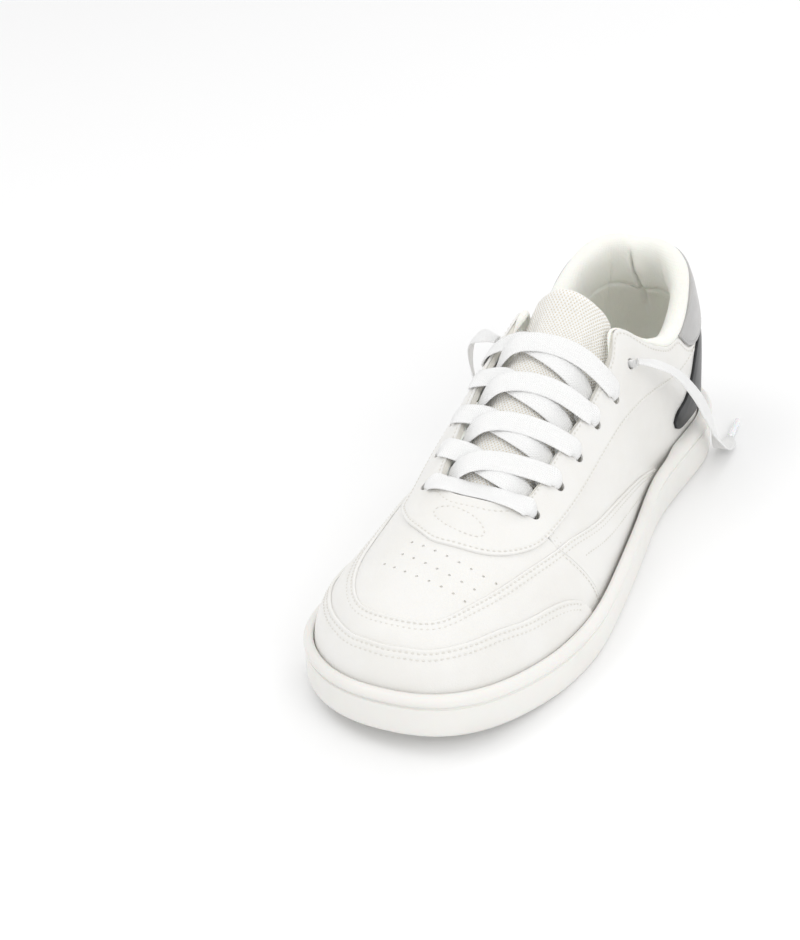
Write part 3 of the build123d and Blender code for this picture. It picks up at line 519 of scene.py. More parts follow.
# --- materials ----------------------------------------------------------------------------
class Look:
    """A procedural material: shader nodes with short calls to add textures and bumps."""

    def __init__(self, name, colour, roughness, **sockets):
        self.material = bpy.data.materials.new(name)
        self.material.use_nodes = True
        self.tree = self.material.node_tree
        self.shader = self.tree.nodes["Principled BSDF"]
        self.shader.inputs["Base Color"].default_value = (*colour, 1)
        self.shader.inputs["Roughness"].default_value = roughness
        for key, value in sockets.items():
            self.shader.inputs[key.replace("_", " ")].default_value = value
        self.place = self.tree.nodes.new("ShaderNodeTexCoord")
        self.height = None

    def link(self, a, b):
        self.tree.links.new(a, b)

    def node(self, kind, **values):
        node = self.tree.nodes.new(kind)
        for key, value in values.items():
            setattr(node, key, value)
        return node

    def mapped(self, scale=(1, 1, 1), rotation=(0, 0, 0), uv=False):
        mapping = self.node("ShaderNodeMapping")
        mapping.inputs["Scale"].default_value = scale
        mapping.inputs["Rotation"].default_value = rotation
        self.link(self.place.outputs["UV" if uv else "Object"], mapping.inputs["Vector"])
        return mapping.outputs["Vector"]

    def noise(self, scale, detail=4.0, rough=0.5, vector=None):
        """scale: features per metre."""
        tex = self.node("ShaderNodeTexNoise")
        tex.inputs["Scale"].default_value = scale
        tex.inputs["Detail"].default_value = detail
        tex.inputs["Roughness"].default_value = rough
        self.link(vector or self.place.outputs["Object"], tex.inputs["Vector"])
        return tex.outputs["Fac"]

    def cells(self, scale, feature="DISTANCE_TO_EDGE", vector=None):
        tex = self.node("ShaderNodeTexVoronoi", feature=feature)
        tex.inputs["Scale"].default_value = scale
        self.link(vector or self.place.outputs["Object"], tex.inputs["Vector"])
        return tex.outputs["Distance"]

    def math(self, operation, a, b=0.0, c=0.0):
        node = self.node("ShaderNodeMath", operation=operation)
        for socket, value in zip(node.inputs, (a, b, c)):
            if hasattr(value, "is_output"):
                self.link(value, socket)
            else:
                socket.default_value = value
        return node.outputs[0]

    def ramp(self, value, low, high, out_low=0.0, out_high=1.0):
        node = self.node("ShaderNodeMapRange", interpolation_type="SMOOTHSTEP")
        self.link(value, node.inputs["Value"])
        for key, number in (("From Min", low), ("From Max", high), ("To Min", out_low), ("To Max", out_high)):
            node.inputs[key].default_value = number
        return node.outputs[0]

    def tint(self, value, dark, light):
        """Base colour between two colours."""
        mix = self.node("ShaderNodeMix", data_type="RGBA")
        self.link(value, mix.inputs["Factor"])
        mix.inputs["A"].default_value = (*dark, 1)
        if hasattr(light, "is_output"):
            self.link(light, mix.inputs["B"])
        else:
            mix.inputs["B"].default_value = (*light, 1)
        self.link(mix.outputs["Result"], self.shader.inputs["Base Color"])
        return mix.outputs["Result"]

    def rough(self, value, low, high):
        self.link(self.ramp(value, 0.3, 0.7, low, high), self.shader.inputs["Roughness"])

    def bump(self, value, distance, strength=1.0):
        """distance in metres."""
        node = self.node("ShaderNodeBump")
        node.inputs["Strength"].default_value = strength
        node.inputs["Distance"].default_value = distance
        self.link(value, node.inputs["Height"])
        if self.height is not None:
            self.link(self.height, node.inputs["Normal"])
        self.height = node.outputs["Normal"]
        self.link(self.height, self.shader.inputs["Normal"])


def leather(name, light, dark, roughness=0.42, coat=0.12, sheen=0.0):
    look = Look(name, light, roughness, Coat_Weight=coat, Coat_Roughness=0.35, Sheen_Weight=sheen,
                Specular_IOR_Level=0.42, Subsurface_Weight=0.06, Subsurface_Scale=0.002)
    look.shader.inputs["Subsurface Radius"].default_value = (1.0, 0.85, 0.65)
    shade = look.noise(38, 4, 0.55)
    look.tint(look.ramp(shade, 0.30, 0.62), dark, light)
    look.rough(look.noise(160, 3), roughness - 0.06, roughness + 0.08)
    look.bump(look.noise(26, 3, 0.5), 0.0011)
    look.bump(look.ramp(look.cells(760), 0.0, 0.12), 0.00006, 0.55)
    look.bump(look.noise(2600, 2), 0.00005, 0.35)
    return look.material


def thread(name, colour):
    look = Look(name, colour, 0.55, Sheen_Weight=0.2)
    twist = look.node("ShaderNodeTexWave", wave_type="BANDS", bands_direction="DIAGONAL")
    twist.inputs["Scale"].default_value = 900
    look.link(look.place.outputs["Object"], twist.inputs["Vector"])
    look.bump(twist.outputs["Fac"], 0.00008, 0.6)
    look.tint(look.noise(300), tuple(0.93 * c for c in colour), colour)
    return look.material


def mesh_cloth(name, yarn, hole, pitch):
    """Spacer mesh: rows of small holes, every second row shifted by half a pitch; UVs in millimetres."""
    look = Look(name, yarn, 0.72, Sheen_Weight=0.25, Sheen_Roughness=0.5)
    dots = []
    for shift in (0.0, 0.5):
        split = look.node("ShaderNodeSeparateXYZ")
        look.link(look.mapped((1 / pitch, 1 / (pitch * 1.2), 1), uv=True), split.inputs[0])
        parts = []
        for k in (0, 1):
            moved = look.math("ADD", split.outputs[k], shift)
            centred = look.math("SUBTRACT", look.math("FRACT", moved), 0.5)
            parts.append(look.math("MULTIPLY", centred, 1.0 if k == 0 else 1.2))
        square = look.math("ADD", look.math("POWER", look.math("ABSOLUTE", parts[0]), 2.0),
                           look.math("POWER", look.math("ABSOLUTE", parts[1]), 2.0))
        dots.append(look.math("SQRT", square))
    near = look.math("MINIMUM", dots[0], dots[1])
    solid = look.ramp(near, 0.11, 0.23)
    fibre = look.noise(2400, 2)
    base = look.node("ShaderNodeMix", data_type="RGBA")
    look.link(look.ramp(fibre, 0.3, 0.7), base.inputs["Factor"])
    base.inputs["A"].default_value = (*[0.9 * c for c in yarn], 1)
    base.inputs["B"].default_value = (*yarn, 1)
    # the holes: partly the tan of the foam seen through them, partly painted shade inside the openings
    look.tint(solid, hole, base.outputs["Result"])
    look.bump(look.ramp(near, 0.12, 0.42), 0.0003, 0.8)
    look.bump(fibre, 0.00012, 0.5)
    return look.material


def lace_cloth(name, colour):
    """Flat woven lace: slanting ribs that mirror about the middle; UVs in millimetres, v across."""
    look = Look(name, colour, 0.62, Sheen_Weight=0.35, Sheen_Roughness=0.45)
    split = look.node("ShaderNodeSeparateXYZ")
    look.link(look.place.outputs["UV"], split.inputs[0])
    fold = look.math("ABSOLUTE", split.outputs[1])
    slant = look.math("ADD", look.math("MULTIPLY", split.outputs[0], 1.15), look.math("MULTIPLY", fold, 1.0))
    rib = look.math("SINE", look.math("MULTIPLY", slant, 2 * math.pi / 1.1))
    cord = look.math("SINE", look.math("MULTIPLY", split.outputs[1], 2 * math.pi / 1.0))
    weave = look.math("ADD", look.math("MULTIPLY", rib, 0.65), look.math("MULTIPLY", cord, 0.35))
    look.bump(weave, 0.00016, 0.8)
    look.bump(look.noise(1800, 2), 0.00012, 0.5)
    # painted shade: the low grooves of the weave are tinted 5% darker than the ribs
    look.tint(look.ramp(weave, -0.9, 0.3), tuple(0.95 * c for c in colour), colour)
    return look.material


def knit_lining(name, light, dark):
    look = Look(name, light, 0.78, Sheen_Weight=0.4, Sheen_Roughness=0.5, Subsurface_Weight=0.1,
                Subsurface_Scale=0.002)
    look.tint(look.ramp(look.noise(30, 4), 0.3, 0.65), dark, light)
    look.bump(look.noise(45, 2), 0.0012)
    weave = look.node("ShaderNodeTexWave", wave_type="BANDS", bands_direction="X")
    weave.inputs["Scale"].default_value = 320
    look.link(look.place.outputs["Object"], weave.inputs["Vector"])
    other = look.node("ShaderNodeTexWave", wave_type="BANDS", bands_direction="Z")
    other.inputs["Scale"].default_value = 320
    look.link(look.place.outputs["Object"], other.inputs["Vector"])
    look.bump(look.math("MULTIPLY", weave.outputs["Fac"], other.outputs["Fac"]), 0.00018, 0.5)
    look.bump(look.noise(1500, 2), 0.00012, 0.4)
    return look.material


def rubber(name, colour):
    look = Look(name, colour, 0.5, Specular_IOR_Level=0.45, Subsurface_Weight=0.12, Subsurface_Scale=0.003)
    look.tint(look.ramp(look.noise(24, 4), 0.32, 0.62), tuple(0.955 * c for c in colour), colour)
    look.rough(look.noise(220, 3), 0.42, 0.58)
    look.bump(look.noise(30, 2), 0.0005, 0.6)
    look.bump(look.noise(3200, 2), 0.00006, 0.4)
    return look.material


def foam_board(name, colour, cell, depth):
    look = Look(name, colour, 0.85)
    look.tint(look.ramp(look.noise(120, 4), 0.3, 0.7), tuple(0.88 * c for c in colour), colour)
    look.bump(look.cells(cell, "F1"), depth, 0.7)
    return look.material


WHITE = (0.83, 0.82, 0.795)
MATERIALS = {
    "white_leather": leather("white_leather", WHITE, (0.81, 0.797, 0.765)),
    "grey_leather": leather("grey_leather", (0.49, 0.485, 0.48), (0.45, 0.445, 0.44), 0.36, 0.2),
    "lining_smooth": knit_lining("lining_smooth", (0.905, 0.905, 0.855), (0.88, 0.88, 0.82)),
    # third colour, the mesh holes: partly foam tan, partly painted shade in the openings
    "lining_mesh": mesh_cloth("lining_mesh", (0.96, 0.955, 0.93), (0.72, 0.62, 0.45), 1.8),
    "sock": knit_lining("sock", (0.95, 0.94, 0.83), (0.92, 0.905, 0.77)),
    "white_rubber": rubber("white_rubber", (0.82, 0.81, 0.78)),
    "eva": foam_board("eva", (0.80, 0.79, 0.75), 900, 0.0003),
    "foam": foam_board("foam", (0.80, 0.76, 0.62), 1400, 0.0004),
    "board": foam_board("board", (0.72, 0.66, 0.53), 500, 0.0002),
    "stiffener": foam_board("stiffener", (0.78, 0.76, 0.70), 700, 0.0002),
    "lace_white": lace_cloth("lace_white", (0.93, 0.93, 0.925)),
    # the thread's darker beige is partly its own tone and partly painted shade of the stitch holes
    "thread": thread("thread", (0.76, 0.74, 0.69)),
}


def gloss_material():
    look = Look("dark_gloss", (0.03, 0.031, 0.033), 0.34,
                Coat_Weight=0.12, Coat_Roughness=0.15, Specular_IOR_Level=0.22)
    look.tint(look.ramp(look.noise(60, 3), 0.3, 0.7), (0.018, 0.019, 0.020), (0.030, 0.031, 0.033))
    look.bump(look.noise(90, 2), 0.0003, 0.4)
    look.bump(look.cells(1500), 0.00003, 0.2)
    return look.material


def aglet_material():
    look = Look("aglet_clear", (0.86, 0.87, 0.88), 0.14, Coat_Weight=0.6, Coat_Roughness=0.05,
                Subsurface_Weight=0.2, Subsurface_Scale=0.001)
    look.tint(look.noise(500), (0.82, 0.83, 0.84), (0.88, 0.89, 0.90))
    look.bump(look.noise(700, 2), 0.0001, 0.4)
    return look.material


MATERIALS["dark_gloss"] = gloss_material()
MATERIALS["aglet_clear"] = aglet_material()

# --- camera ---------------------------------------------------------------------------------
def make_camera():
    az, el, roll = CAMERA_ANGLES
    back = np.array([math.sin(az) * math.cos(el), -math.cos(az) * math.cos(el), math.sin(el)])
    right = np.array([math.cos(az), math.sin(az), 0.0])
    up = np.cross(back, right)
    across = math.cos(roll) * right + math.sin(roll) * up
    top = -math.sin(roll) * right + math.cos(roll) * up
    data = bpy.data.cameras.new("camera")
    data.sensor_fit = "VERTICAL"
    data.sensor_height = 36.0
    data.lens = CAMERA_LENS
    data.clip_start = 0.05
    camera = bpy.data.objects.new("camera", data)
    bpy.context.scene.collection.objects.link(camera)
    m = Matrix.Identity(4)
    for k in range(3):
        m[k][0], m[k][1], m[k][2] = across[k], top[k], back[k]
    m.translation = Vector(np.array(CAMERA_PLACE) * MM)
    camera.matrix_world = m
    bpy.context.scene.camera = camera


# --- lace -----------------------------------------------------------------------------------
RIBBON_WIDTH = 8.8      # free lace ends, a little narrower than where the lace is pulled flat


def lace_section(width, thick, count=20):
    """Flattened oval with soft edges, as (across, up) points."""
    t = np.linspace(0, 2 * np.pi, count, endpoint=False)
    c, s = np.cos(t), np.sin(t)
    return np.c_[width / 2 * np.sign(c) * np.abs(c) ** 0.75, thick / 2 * np.sign(s) * np.abs(s) ** 0.75]


def strap_mesh(name, centre, across, size):
    """A flat strap along its centre line, with woven thickness."""
    way = np.gradient(centre, axis=0)
    way /= np.linalg.norm(way, axis=1, keepdims=True)
    across = across - np.sum(across * way, axis=1, keepdims=True) * way
    across /= np.linalg.norm(across, axis=1, keepdims=True)
    up = np.cross(way, across)
    along = np.r_[0, np.cumsum(np.linalg.norm(np.diff(centre, axis=0), axis=1))]
    count = 20
    verts, uvs = [], []
    for c, a, n, (w, t), s in zip(centre, across, up, size, along):
        section = lace_section(w, t, count)
        verts += [c + x * a + y * n for x, y in section]
        uvs += [(s, x * LACE_WIDTH / w) for x, y in section]
    rings = len(centre)
    faces = grid_faces(rings, count, wrap=True)
    faces.append(tuple(range(count))[::-1])
    faces.append(tuple((rings - 1) * count + j for j in range(count)))
    obj = new_piece(name, verts, faces, uvs, smooth_limit=75)
    outward(obj)
    return obj


def route_points(name, points):
    """Points along the smooth NURBS line through a free end's route, in metres."""
    data = bpy.data.curves.new(name, "CURVE")
    data.dimensions = "3D"
    data.resolution_u = 24
    spline = data.splines.new("NURBS")
    spline.points.add(len(points) - 1)
    for point, p in zip(spline.points, points):
        point.co = (*p, 1.0)
    spline.order_u = 3
    spline.use_endpoint_u = True
    obj = bpy.data.objects.new(name, data)
    bpy.context.scene.collection.objects.link(obj)
    bpy.context.view_layer.update()
    mesh = bpy.data.meshes.new_from_object(obj.evaluated_get(bpy.context.evaluated_depsgraph_get()))
    line = np.array([v.co for v in mesh.vertices])
    bpy.data.objects.remove(obj, do_unlink=True)
    bpy.data.curves.remove(data)
    bpy.data.meshes.remove(mesh)
    return line


def free_end(name, points, first_across, turns, side):
    """A free lace end as a twisting ribbon, with its aglet."""
    line = route_points(name + "_route", points)
    keep = np.r_[True, np.linalg.norm(np.diff(line, axis=0), axis=1) > 1e-6]
    line = line[keep]
    length = length_of(line)
    count = int(length / 0.0012)
    fine = spaced(line, np.linspace(0, 1, count))
    way = np.gradient(fine, axis=0)
    way /= np.linalg.norm(way, axis=1, keepdims=True)
    frame_across = [np.array(first_across, float)]
    for w in way[1:]:
        a = frame_across[-1] - frame_across[-1] @ w * w
        frame_across.append(a / np.linalg.norm(a))
    share = np.linspace(0, 1, count)
    angle = np.radians(np.interp(share, [t for t, a in turns], [a for t, a in turns]))
    across = []
    for a, w, q in zip(frame_across, way, angle):
        a = a - a @ w * w
        a /= np.linalg.norm(a)
        across.append(math.cos(q) * a + math.sin(q) * np.cross(w, a))
    stops = [0, 0.003, 0.009, length - 0.006, length]
    width = np.interp(share * length, stops, [4.4, 5.2, RIBBON_WIDTH, RIBBON_WIDTH, 3.0])
    thick = np.interp(share * length, stops, [1.9, 1.8, 1.35, 1.35, 2.4])
    piece = strap_mesh("lace_end_%s_ribbon" % side, fine / MM, np.array(across), np.c_[width, thick])
    finish_piece(piece, "lace_white", ("lace_end_" + side,))
    tip = aglet("aglet_%s_tip" % side, fine[-1] / MM, way[-1])
    finish_piece(tip, "aglet_clear", ("aglet_" + side,))
    return piece


def aglet(name, start, way):
    """Crimped plastic tip: a slightly faceted tube with rolled ends."""
    side = np.cross(way, [0, 0, 1.0])
    side /= np.linalg.norm(side)
    up = np.cross(side, way)
    rings = [(-1.0, 1.15), (-0.9, 1.45), (-0.3, 1.58), (1.0, 1.55), (2.4, 1.5), (3.2, 1.58), (9, 1.5),
             (16, 1.45), (17.2, 1.38), (17.8, 1.1), (18.0, 0.6)]
    turn = np.linspace(0, 2 * np.pi, 24, endpoint=False)
    verts = []
    for along, r in rings:
        wave = r * (1 + 0.03 * np.cos(6 * turn))
        verts += [start + way * along + w * (math.cos(t) * side + math.sin(t) * up)
                  for w, t in zip(wave, turn)]
    faces = grid_faces(len(rings), 24, wrap=True)
    faces.append(tuple(range(24))[::-1])
    faces.append(tuple((len(rings) - 1) * 24 + j for j in range(24)))
    obj = new_piece(name, verts, faces, smooth_limit=50)
    outward(obj)
    return obj


# the held lace: its depth over and under the eyestay, where straps cross, and its width and thickness
OVER, UNDER = 0.3, 6.6
TOP_STRAP, LOW_STRAP = 2.6, 4.3
LACE_WIDTH = 10.4
FULL = (LACE_WIDTH, 1.25)
GATHERED = (4.2, 1.9)       # folded together in an eyelet


def facing_point(side, y):
    edge = np.array(FACING[3:], float)
    return (side * np.interp(y, edge[:, 1], edge[:, 0]), y, np.interp(y, edge[:, 1], edge[:, 2]))


def eyelet(side, row):
    a, b, c = EYELETS[row]
    point = on_last(placed([(side * a, b, c)]))[0]
    return point, normal_at(point)


def along_surface(start, end, normal):
    way = end - start
    way = way - way @ normal * normal
    return way / np.linalg.norm(way)


def hole_turn(side, row, face):
    point, normal = eyelet(side, row)
    inward = along_surface(point, on_last(placed([facing_point(side, EYELETS[row][1])]))[0], normal)
    across = face * np.cross(normal, -inward)
    steps = [(3.8, OVER, FULL), (1.7, OVER + 0.25, (6.2, 1.7)), (0.4, 1.5, GATHERED), (0, 3.3, GATHERED),
             (0.4, 5.1, GATHERED), (1.7, UNDER - 0.25, GATHERED), (3.8, UNDER, FULL)]
    return [(point + inward * s - normal * d, across, size) for s, d, size in steps]


def crossing(side, row, middle, face):
    y0, y1 = EYELETS[row][1] + 6.5, EYELETS[row + 1][1] - 1.5
    start, end = facing_point(side, y0), facing_point(-side, y1)
    stops = [(0.0, UNDER), (0.16, middle), (0.5, middle - 0.1), (0.84, middle), (1.0, OVER)]
    y = np.array([y0 + (y1 - y0) * t for t, d in stops])
    x = np.array([start[0] + (end[0] - start[0]) * t for t, d in stops])
    z = np.r_[start[2], ridge_z(y[1:4]) - 2, end[2]]
    surface = on_last(placed(np.c_[x, y, z]))
    normal = normal_at(surface)
    points = surface - np.array([d for t, d in stops])[:, None] * normal
    ways = np.gradient(points, axis=0)
    return [(p, face * np.cross(n, w / np.linalg.norm(w)), FULL) for p, n, w in zip(points, normal, ways)]


def rise(side, face):
    point, normal = eyelet(side, 5)
    back = along_surface(point, eyelet(side, 4)[0], normal)
    across = face * np.cross(normal, -back)
    steps = [(9, UNDER, FULL), (4.2, UNDER, GATHERED), (1.8, UNDER - 0.3, GATHERED), (0.4, 5.1, GATHERED),
             (0, 3.3, GATHERED), (0, 1.2, GATHERED), (0, -1.4, GATHERED)]
    return [(point + back * s - normal * d, across, size) for s, d, size in steps]


def strand(side):
    face = 1
    stops = hole_turn(side, 0, face)
    for row in range(4):
        face = -face
        stops += crossing(side, row, LOW_STRAP if side > 0 else TOP_STRAP, face)
        side = -side
        stops += hole_turn(side, row + 1, face)
    return stops + rise(side, -face)


def held_route():
    medial = [(p, -across, size) for p, across, size in strand(-1)[::-1]]
    guide = placed([(-20, -58, 66), (-10, -58, 68), (0, -58, 69), (10, -58, 68), (20, -58, 66)])
    surface = on_last(guide)
    normal = normal_at(surface)
    depth = np.array([0.8, 3.0, 3.9, 3.0, 0.8])[:, None]
    bar = [(p, np.array([0.0, 1.0, 0.0]), FULL) for p in surface - depth * normal]
    return medial + bar + strand(1)


def held_lace():
    stops = held_route()
    points = np.array([p for p, across, size in stops])
    marks = np.r_[0, np.cumsum(np.linalg.norm(np.diff(points, axis=0), axis=1) ** 0.5)]
    mark = np.interp(np.linspace(0, len(points) - 1, 1100), np.arange(len(points)), marks)
    centre = np.stack([spline_value(mark, marks, points[:, k]) for k in range(3)], -1)
    across = np.stack([np.interp(mark, marks, [a[k] for p, a, s in stops]) for k in range(3)], -1)
    size = np.stack([np.interp(mark, marks, [s[k] for p, a, s in stops]) for k in range(2)], -1)
    fine = np.linspace(0, 1, int(length_of(centre) / 0.8))
    s = np.r_[0, np.cumsum(np.linalg.norm(np.diff(centre, axis=0), axis=1))]
    take = [np.stack([np.interp(fine * s[-1], s, a[:, k]) for k in range(a.shape[1])], -1)
            for a in (centre, across, size)]
    piece = strap_mesh("lace_held_weave", *take)
    finish_piece(piece, "lace_white", ("lace_held",))


# routes of the free ends, in metres, and how far the ribbon is turned about its line at shares of its length
LATERAL_END = [(0.0342, 0.0406, 0.0836), (0.042, 0.0455, 0.0815), (0.0475, 0.055, 0.073),
               (0.050, 0.068, 0.060), (0.0515, 0.081, 0.046), (0.0525, 0.093, 0.031),
               (0.053, 0.1035, 0.016), (0.0528, 0.1155, 0.0022), (0.0515, 0.131, 0.0022)]
MEDIAL_END = [(-0.031, 0.0408, 0.0828), (-0.0395, 0.0435, 0.083), (-0.0475, 0.0505, 0.0755),
              (-0.0515, 0.058, 0.061), (-0.053, 0.066, 0.045), (-0.0545, 0.0755, 0.029),
              (-0.056, 0.087, 0.014), (-0.057, 0.1005, 0.0022), (-0.056, 0.116, 0.0022)]
LATERAL_TURNS = [(0, -30), (0.14, -18), (0.25, 2), (0.5, 20), (0.66, 12), (0.86, -62), (1, -62)]
MEDIAL_TURNS = [(0, 0), (0.15, -10), (0.4, -60), (1, -90)]


# --- sole -----------------------------------------------------------------------------------
def ring(inset, count=240):
    """Closed outline of the sole at one inset, as x and y."""
    swing = np.linspace(0, np.pi, count)
    toe, heel = TOE_Y + inset, HEEL_Y - inset
    y = (toe + heel) / 2 - (heel - toe) / 2 * np.cos(swing)
    right = np.c_[centre_x(y) + half_width(1, y, None, inset), y]
    left = np.c_[centre_x(y) - half_width(-1, y, None, inset), y]
    return np.vstack([right, left[-2:0:-1]])


HEEL_CLOSE = 1.8         # how much nearer the bead comes to the thinner upper round the heel


def make_sole():
    """Cupsole: plain underside, side wall with its line and bead, and the inside of the cup."""
    under = [(9, 0), (3, 0), (1.7, 0.25), (0.7, 1.1), (0.25, 2.4), (0.05, 4.6), (0.0, 7.5)]
    wall = [(0.1, -3.2), (0.12, -1.9), (0.3, -1.45), (0.85, -1.2), (1.05, -0.95), (1.05, -0.7),
            (0.8, -0.35), (0.15, 0.0), (-0.25, 0.5), (-0.45, 1.3), (-0.4, 2.3), (0.0, 3.3), (0.7, 4.1),
            (1.6, 4.65), (2.5, 4.85), (3.3, 4.7), (3.75, 4.2), (3.85, 3.2), (3.9, 0), (3.95, -3)]
    cup = [(4.0, 6.2), (9.0, 6.0)]
    parts = ((sole_lift, under), (rim_z, wall), (sole_lift, cup))
    profile = [(inset, z, base) for base, part in parts for inset, z in part]
    count = 240
    per = 2 * count - 2
    verts = []
    for inset, z, base in profile:
        near = np.clip((inset - 1.6) / 2, 0, 1)
        xy, closer = ring(inset, count), ring(inset + HEEL_CLOSE, count)
        xy = xy + (closer - xy) * near * ease((xy[:, 1:] - 62) / 20)
        verts.append(np.c_[xy, base(xy[:, 1]) + z])
    verts = np.vstack(verts)
    faces = grid_faces(len(profile), per, wrap=True)
    underside = bridge(0, per, count)
    cup_floor = bridge((len(profile) - 1) * per, per, count)
    faces += underside + cup_floor
    sole = new_piece("cupsole_moulding", verts, faces, smooth_limit=40)
    outward(sole)
    finish_piece(sole, "white_rubber", ("cupsole",))


def bridge(first, per, count):
    """Quads across a closed outline, from one side's points to the other's."""
    faces = []
    for i in range(count - 1):
        a, b = i, i + 1
        c, d = (per - b) % per, (per - a) % per
        ids = []
        for k in (a, b, c, d):
            if first + k not in ids:
                ids.append(first + k)
        if len(ids) > 2:
            faces.append(tuple(ids))
    return faces



def make_footbed():
    """Cupped textile sockliner filling the bottom of the shoe."""
    count, across = 200, 60
    swing = np.linspace(0, np.pi, count)
    toe, heel = TOE_Y + SOCK_INSET, HEEL_Y - SOCK_INSET
    y = (toe + heel) / 2 - (heel - toe) / 2 * np.cos(swing)
    s = np.linspace(-1, 1, across)
    right = centre_x(y) + half_width(1, y, None, SOCK_INSET)
    left = centre_x(y) - half_width(-1, y, None, SOCK_INSET)
    x = left[:, None] + (right - left)[:, None] * (s[None, :] + 1) / 2
    floor = rim_z(y) - LOWER_EDGE - 0.2 + 1.6
    rear = np.clip((y - 40) / 80, 0, 1)[:, None]
    arch_rise = 2.2 * np.exp(-((y - 15) / 45) ** 2)[:, None] * np.clip(-s, 0, 1)[None, :] ** 2
    cup = (1.2 + 1.6 * rear) * np.abs(s)[None, :] ** 5 + arch_rise
    tips = np.clip(np.minimum(y - toe, heel - y) / 10, 0, 1)[:, None]
    top = floor[:, None] + 4.4 + cup * tips + 1.4 * (1 - tips)
    yy = np.repeat(y[:, None], across, 1)
    upper = np.stack([x, yy, top], -1)
    lower = np.stack([x, yy, np.repeat(floor[:, None], across, 1)], -1)
    obj = closed_pair("sockliner_moulded", upper, lower)
    finish_piece(obj, "sock", ("sockliner",))


# --- padded collar and lining -------------------------------------------------------------
# distance below the top line and depth under the outer surface, from the outside over the roll
ROLL = [(7.0, 2.7), (3.5, 2.6), (1.2, 2.5), (0.4, 2.3), (-0.3, 1.75), (-1.2, 1.4), (-2.2, 1.6),
        (-3.2, 2.5), (-3.9, 4.0), (-4.2, 5.8), (-3.9, 7.6), (-2.9, 9.3), (-1.2, 10.6), (1.2, 11.5),
        (4.5, 12.1), (8.5, 12.2), (13, 11.8), (17, 11.3), (19, 10.9), (20.2, 10.6), (21, 10.4),
        (21.8, 10.2), (22.6, 10), (24, 9.6), (26, 9), (29, 8.2), (33, 7.3), (39, 6.2), (46, 5.6), (52, 5.4)]
HEEL_SEAM = 23.0        # half width of the heel's own lining panel
PAD_SEAM = 21.4         # the seam under the heel pad, below the top line


def along_smoothed(rows, weight, spread=7):
    """Points averaged with their neighbours along a row, as much as the weight says."""
    reach = 3 * spread
    kernel = np.exp(-0.5 * (np.arange(-reach, reach + 1) / spread) ** 2)
    kernel /= kernel.sum()
    wide = np.vstack([rows[:1]] * reach + [rows] + [rows[-1:]] * reach)
    mean = np.stack([np.convolve(wide[:, c], kernel, "valid") for c in range(3)], -1)
    return rows * (1 - weight[:, None]) + mean * weight[:, None]


def lining_grooves(s, arc, back):
    """How far the lining is pulled in at its seams: under the pad, beside the heel panel and in its fold."""
    under = 1.5 * np.exp(-((s - PAD_SEAM) / 1.0) ** 2) * ease((60 - np.abs(arc)) / 12)
    sides = 0.7 * np.exp(-((np.abs(arc) - HEEL_SEAM) / 0.9) ** 2) * ease((s - 3) / 4)
    middle = -8 + 8 * ease(s / 22)
    fold = 2.4 * np.exp(-((arc - middle) / 1.9) ** 2) * ease((s + 1) / 5) * (1 - ease((s - 30) / 12))
    swell = -0.8 * np.exp(-((arc - middle - 7) / 5.0) ** 2) * ease(s / 8) * (1 - ease((s - 20) / 10))
    return (under + sides + fold + swell) * back


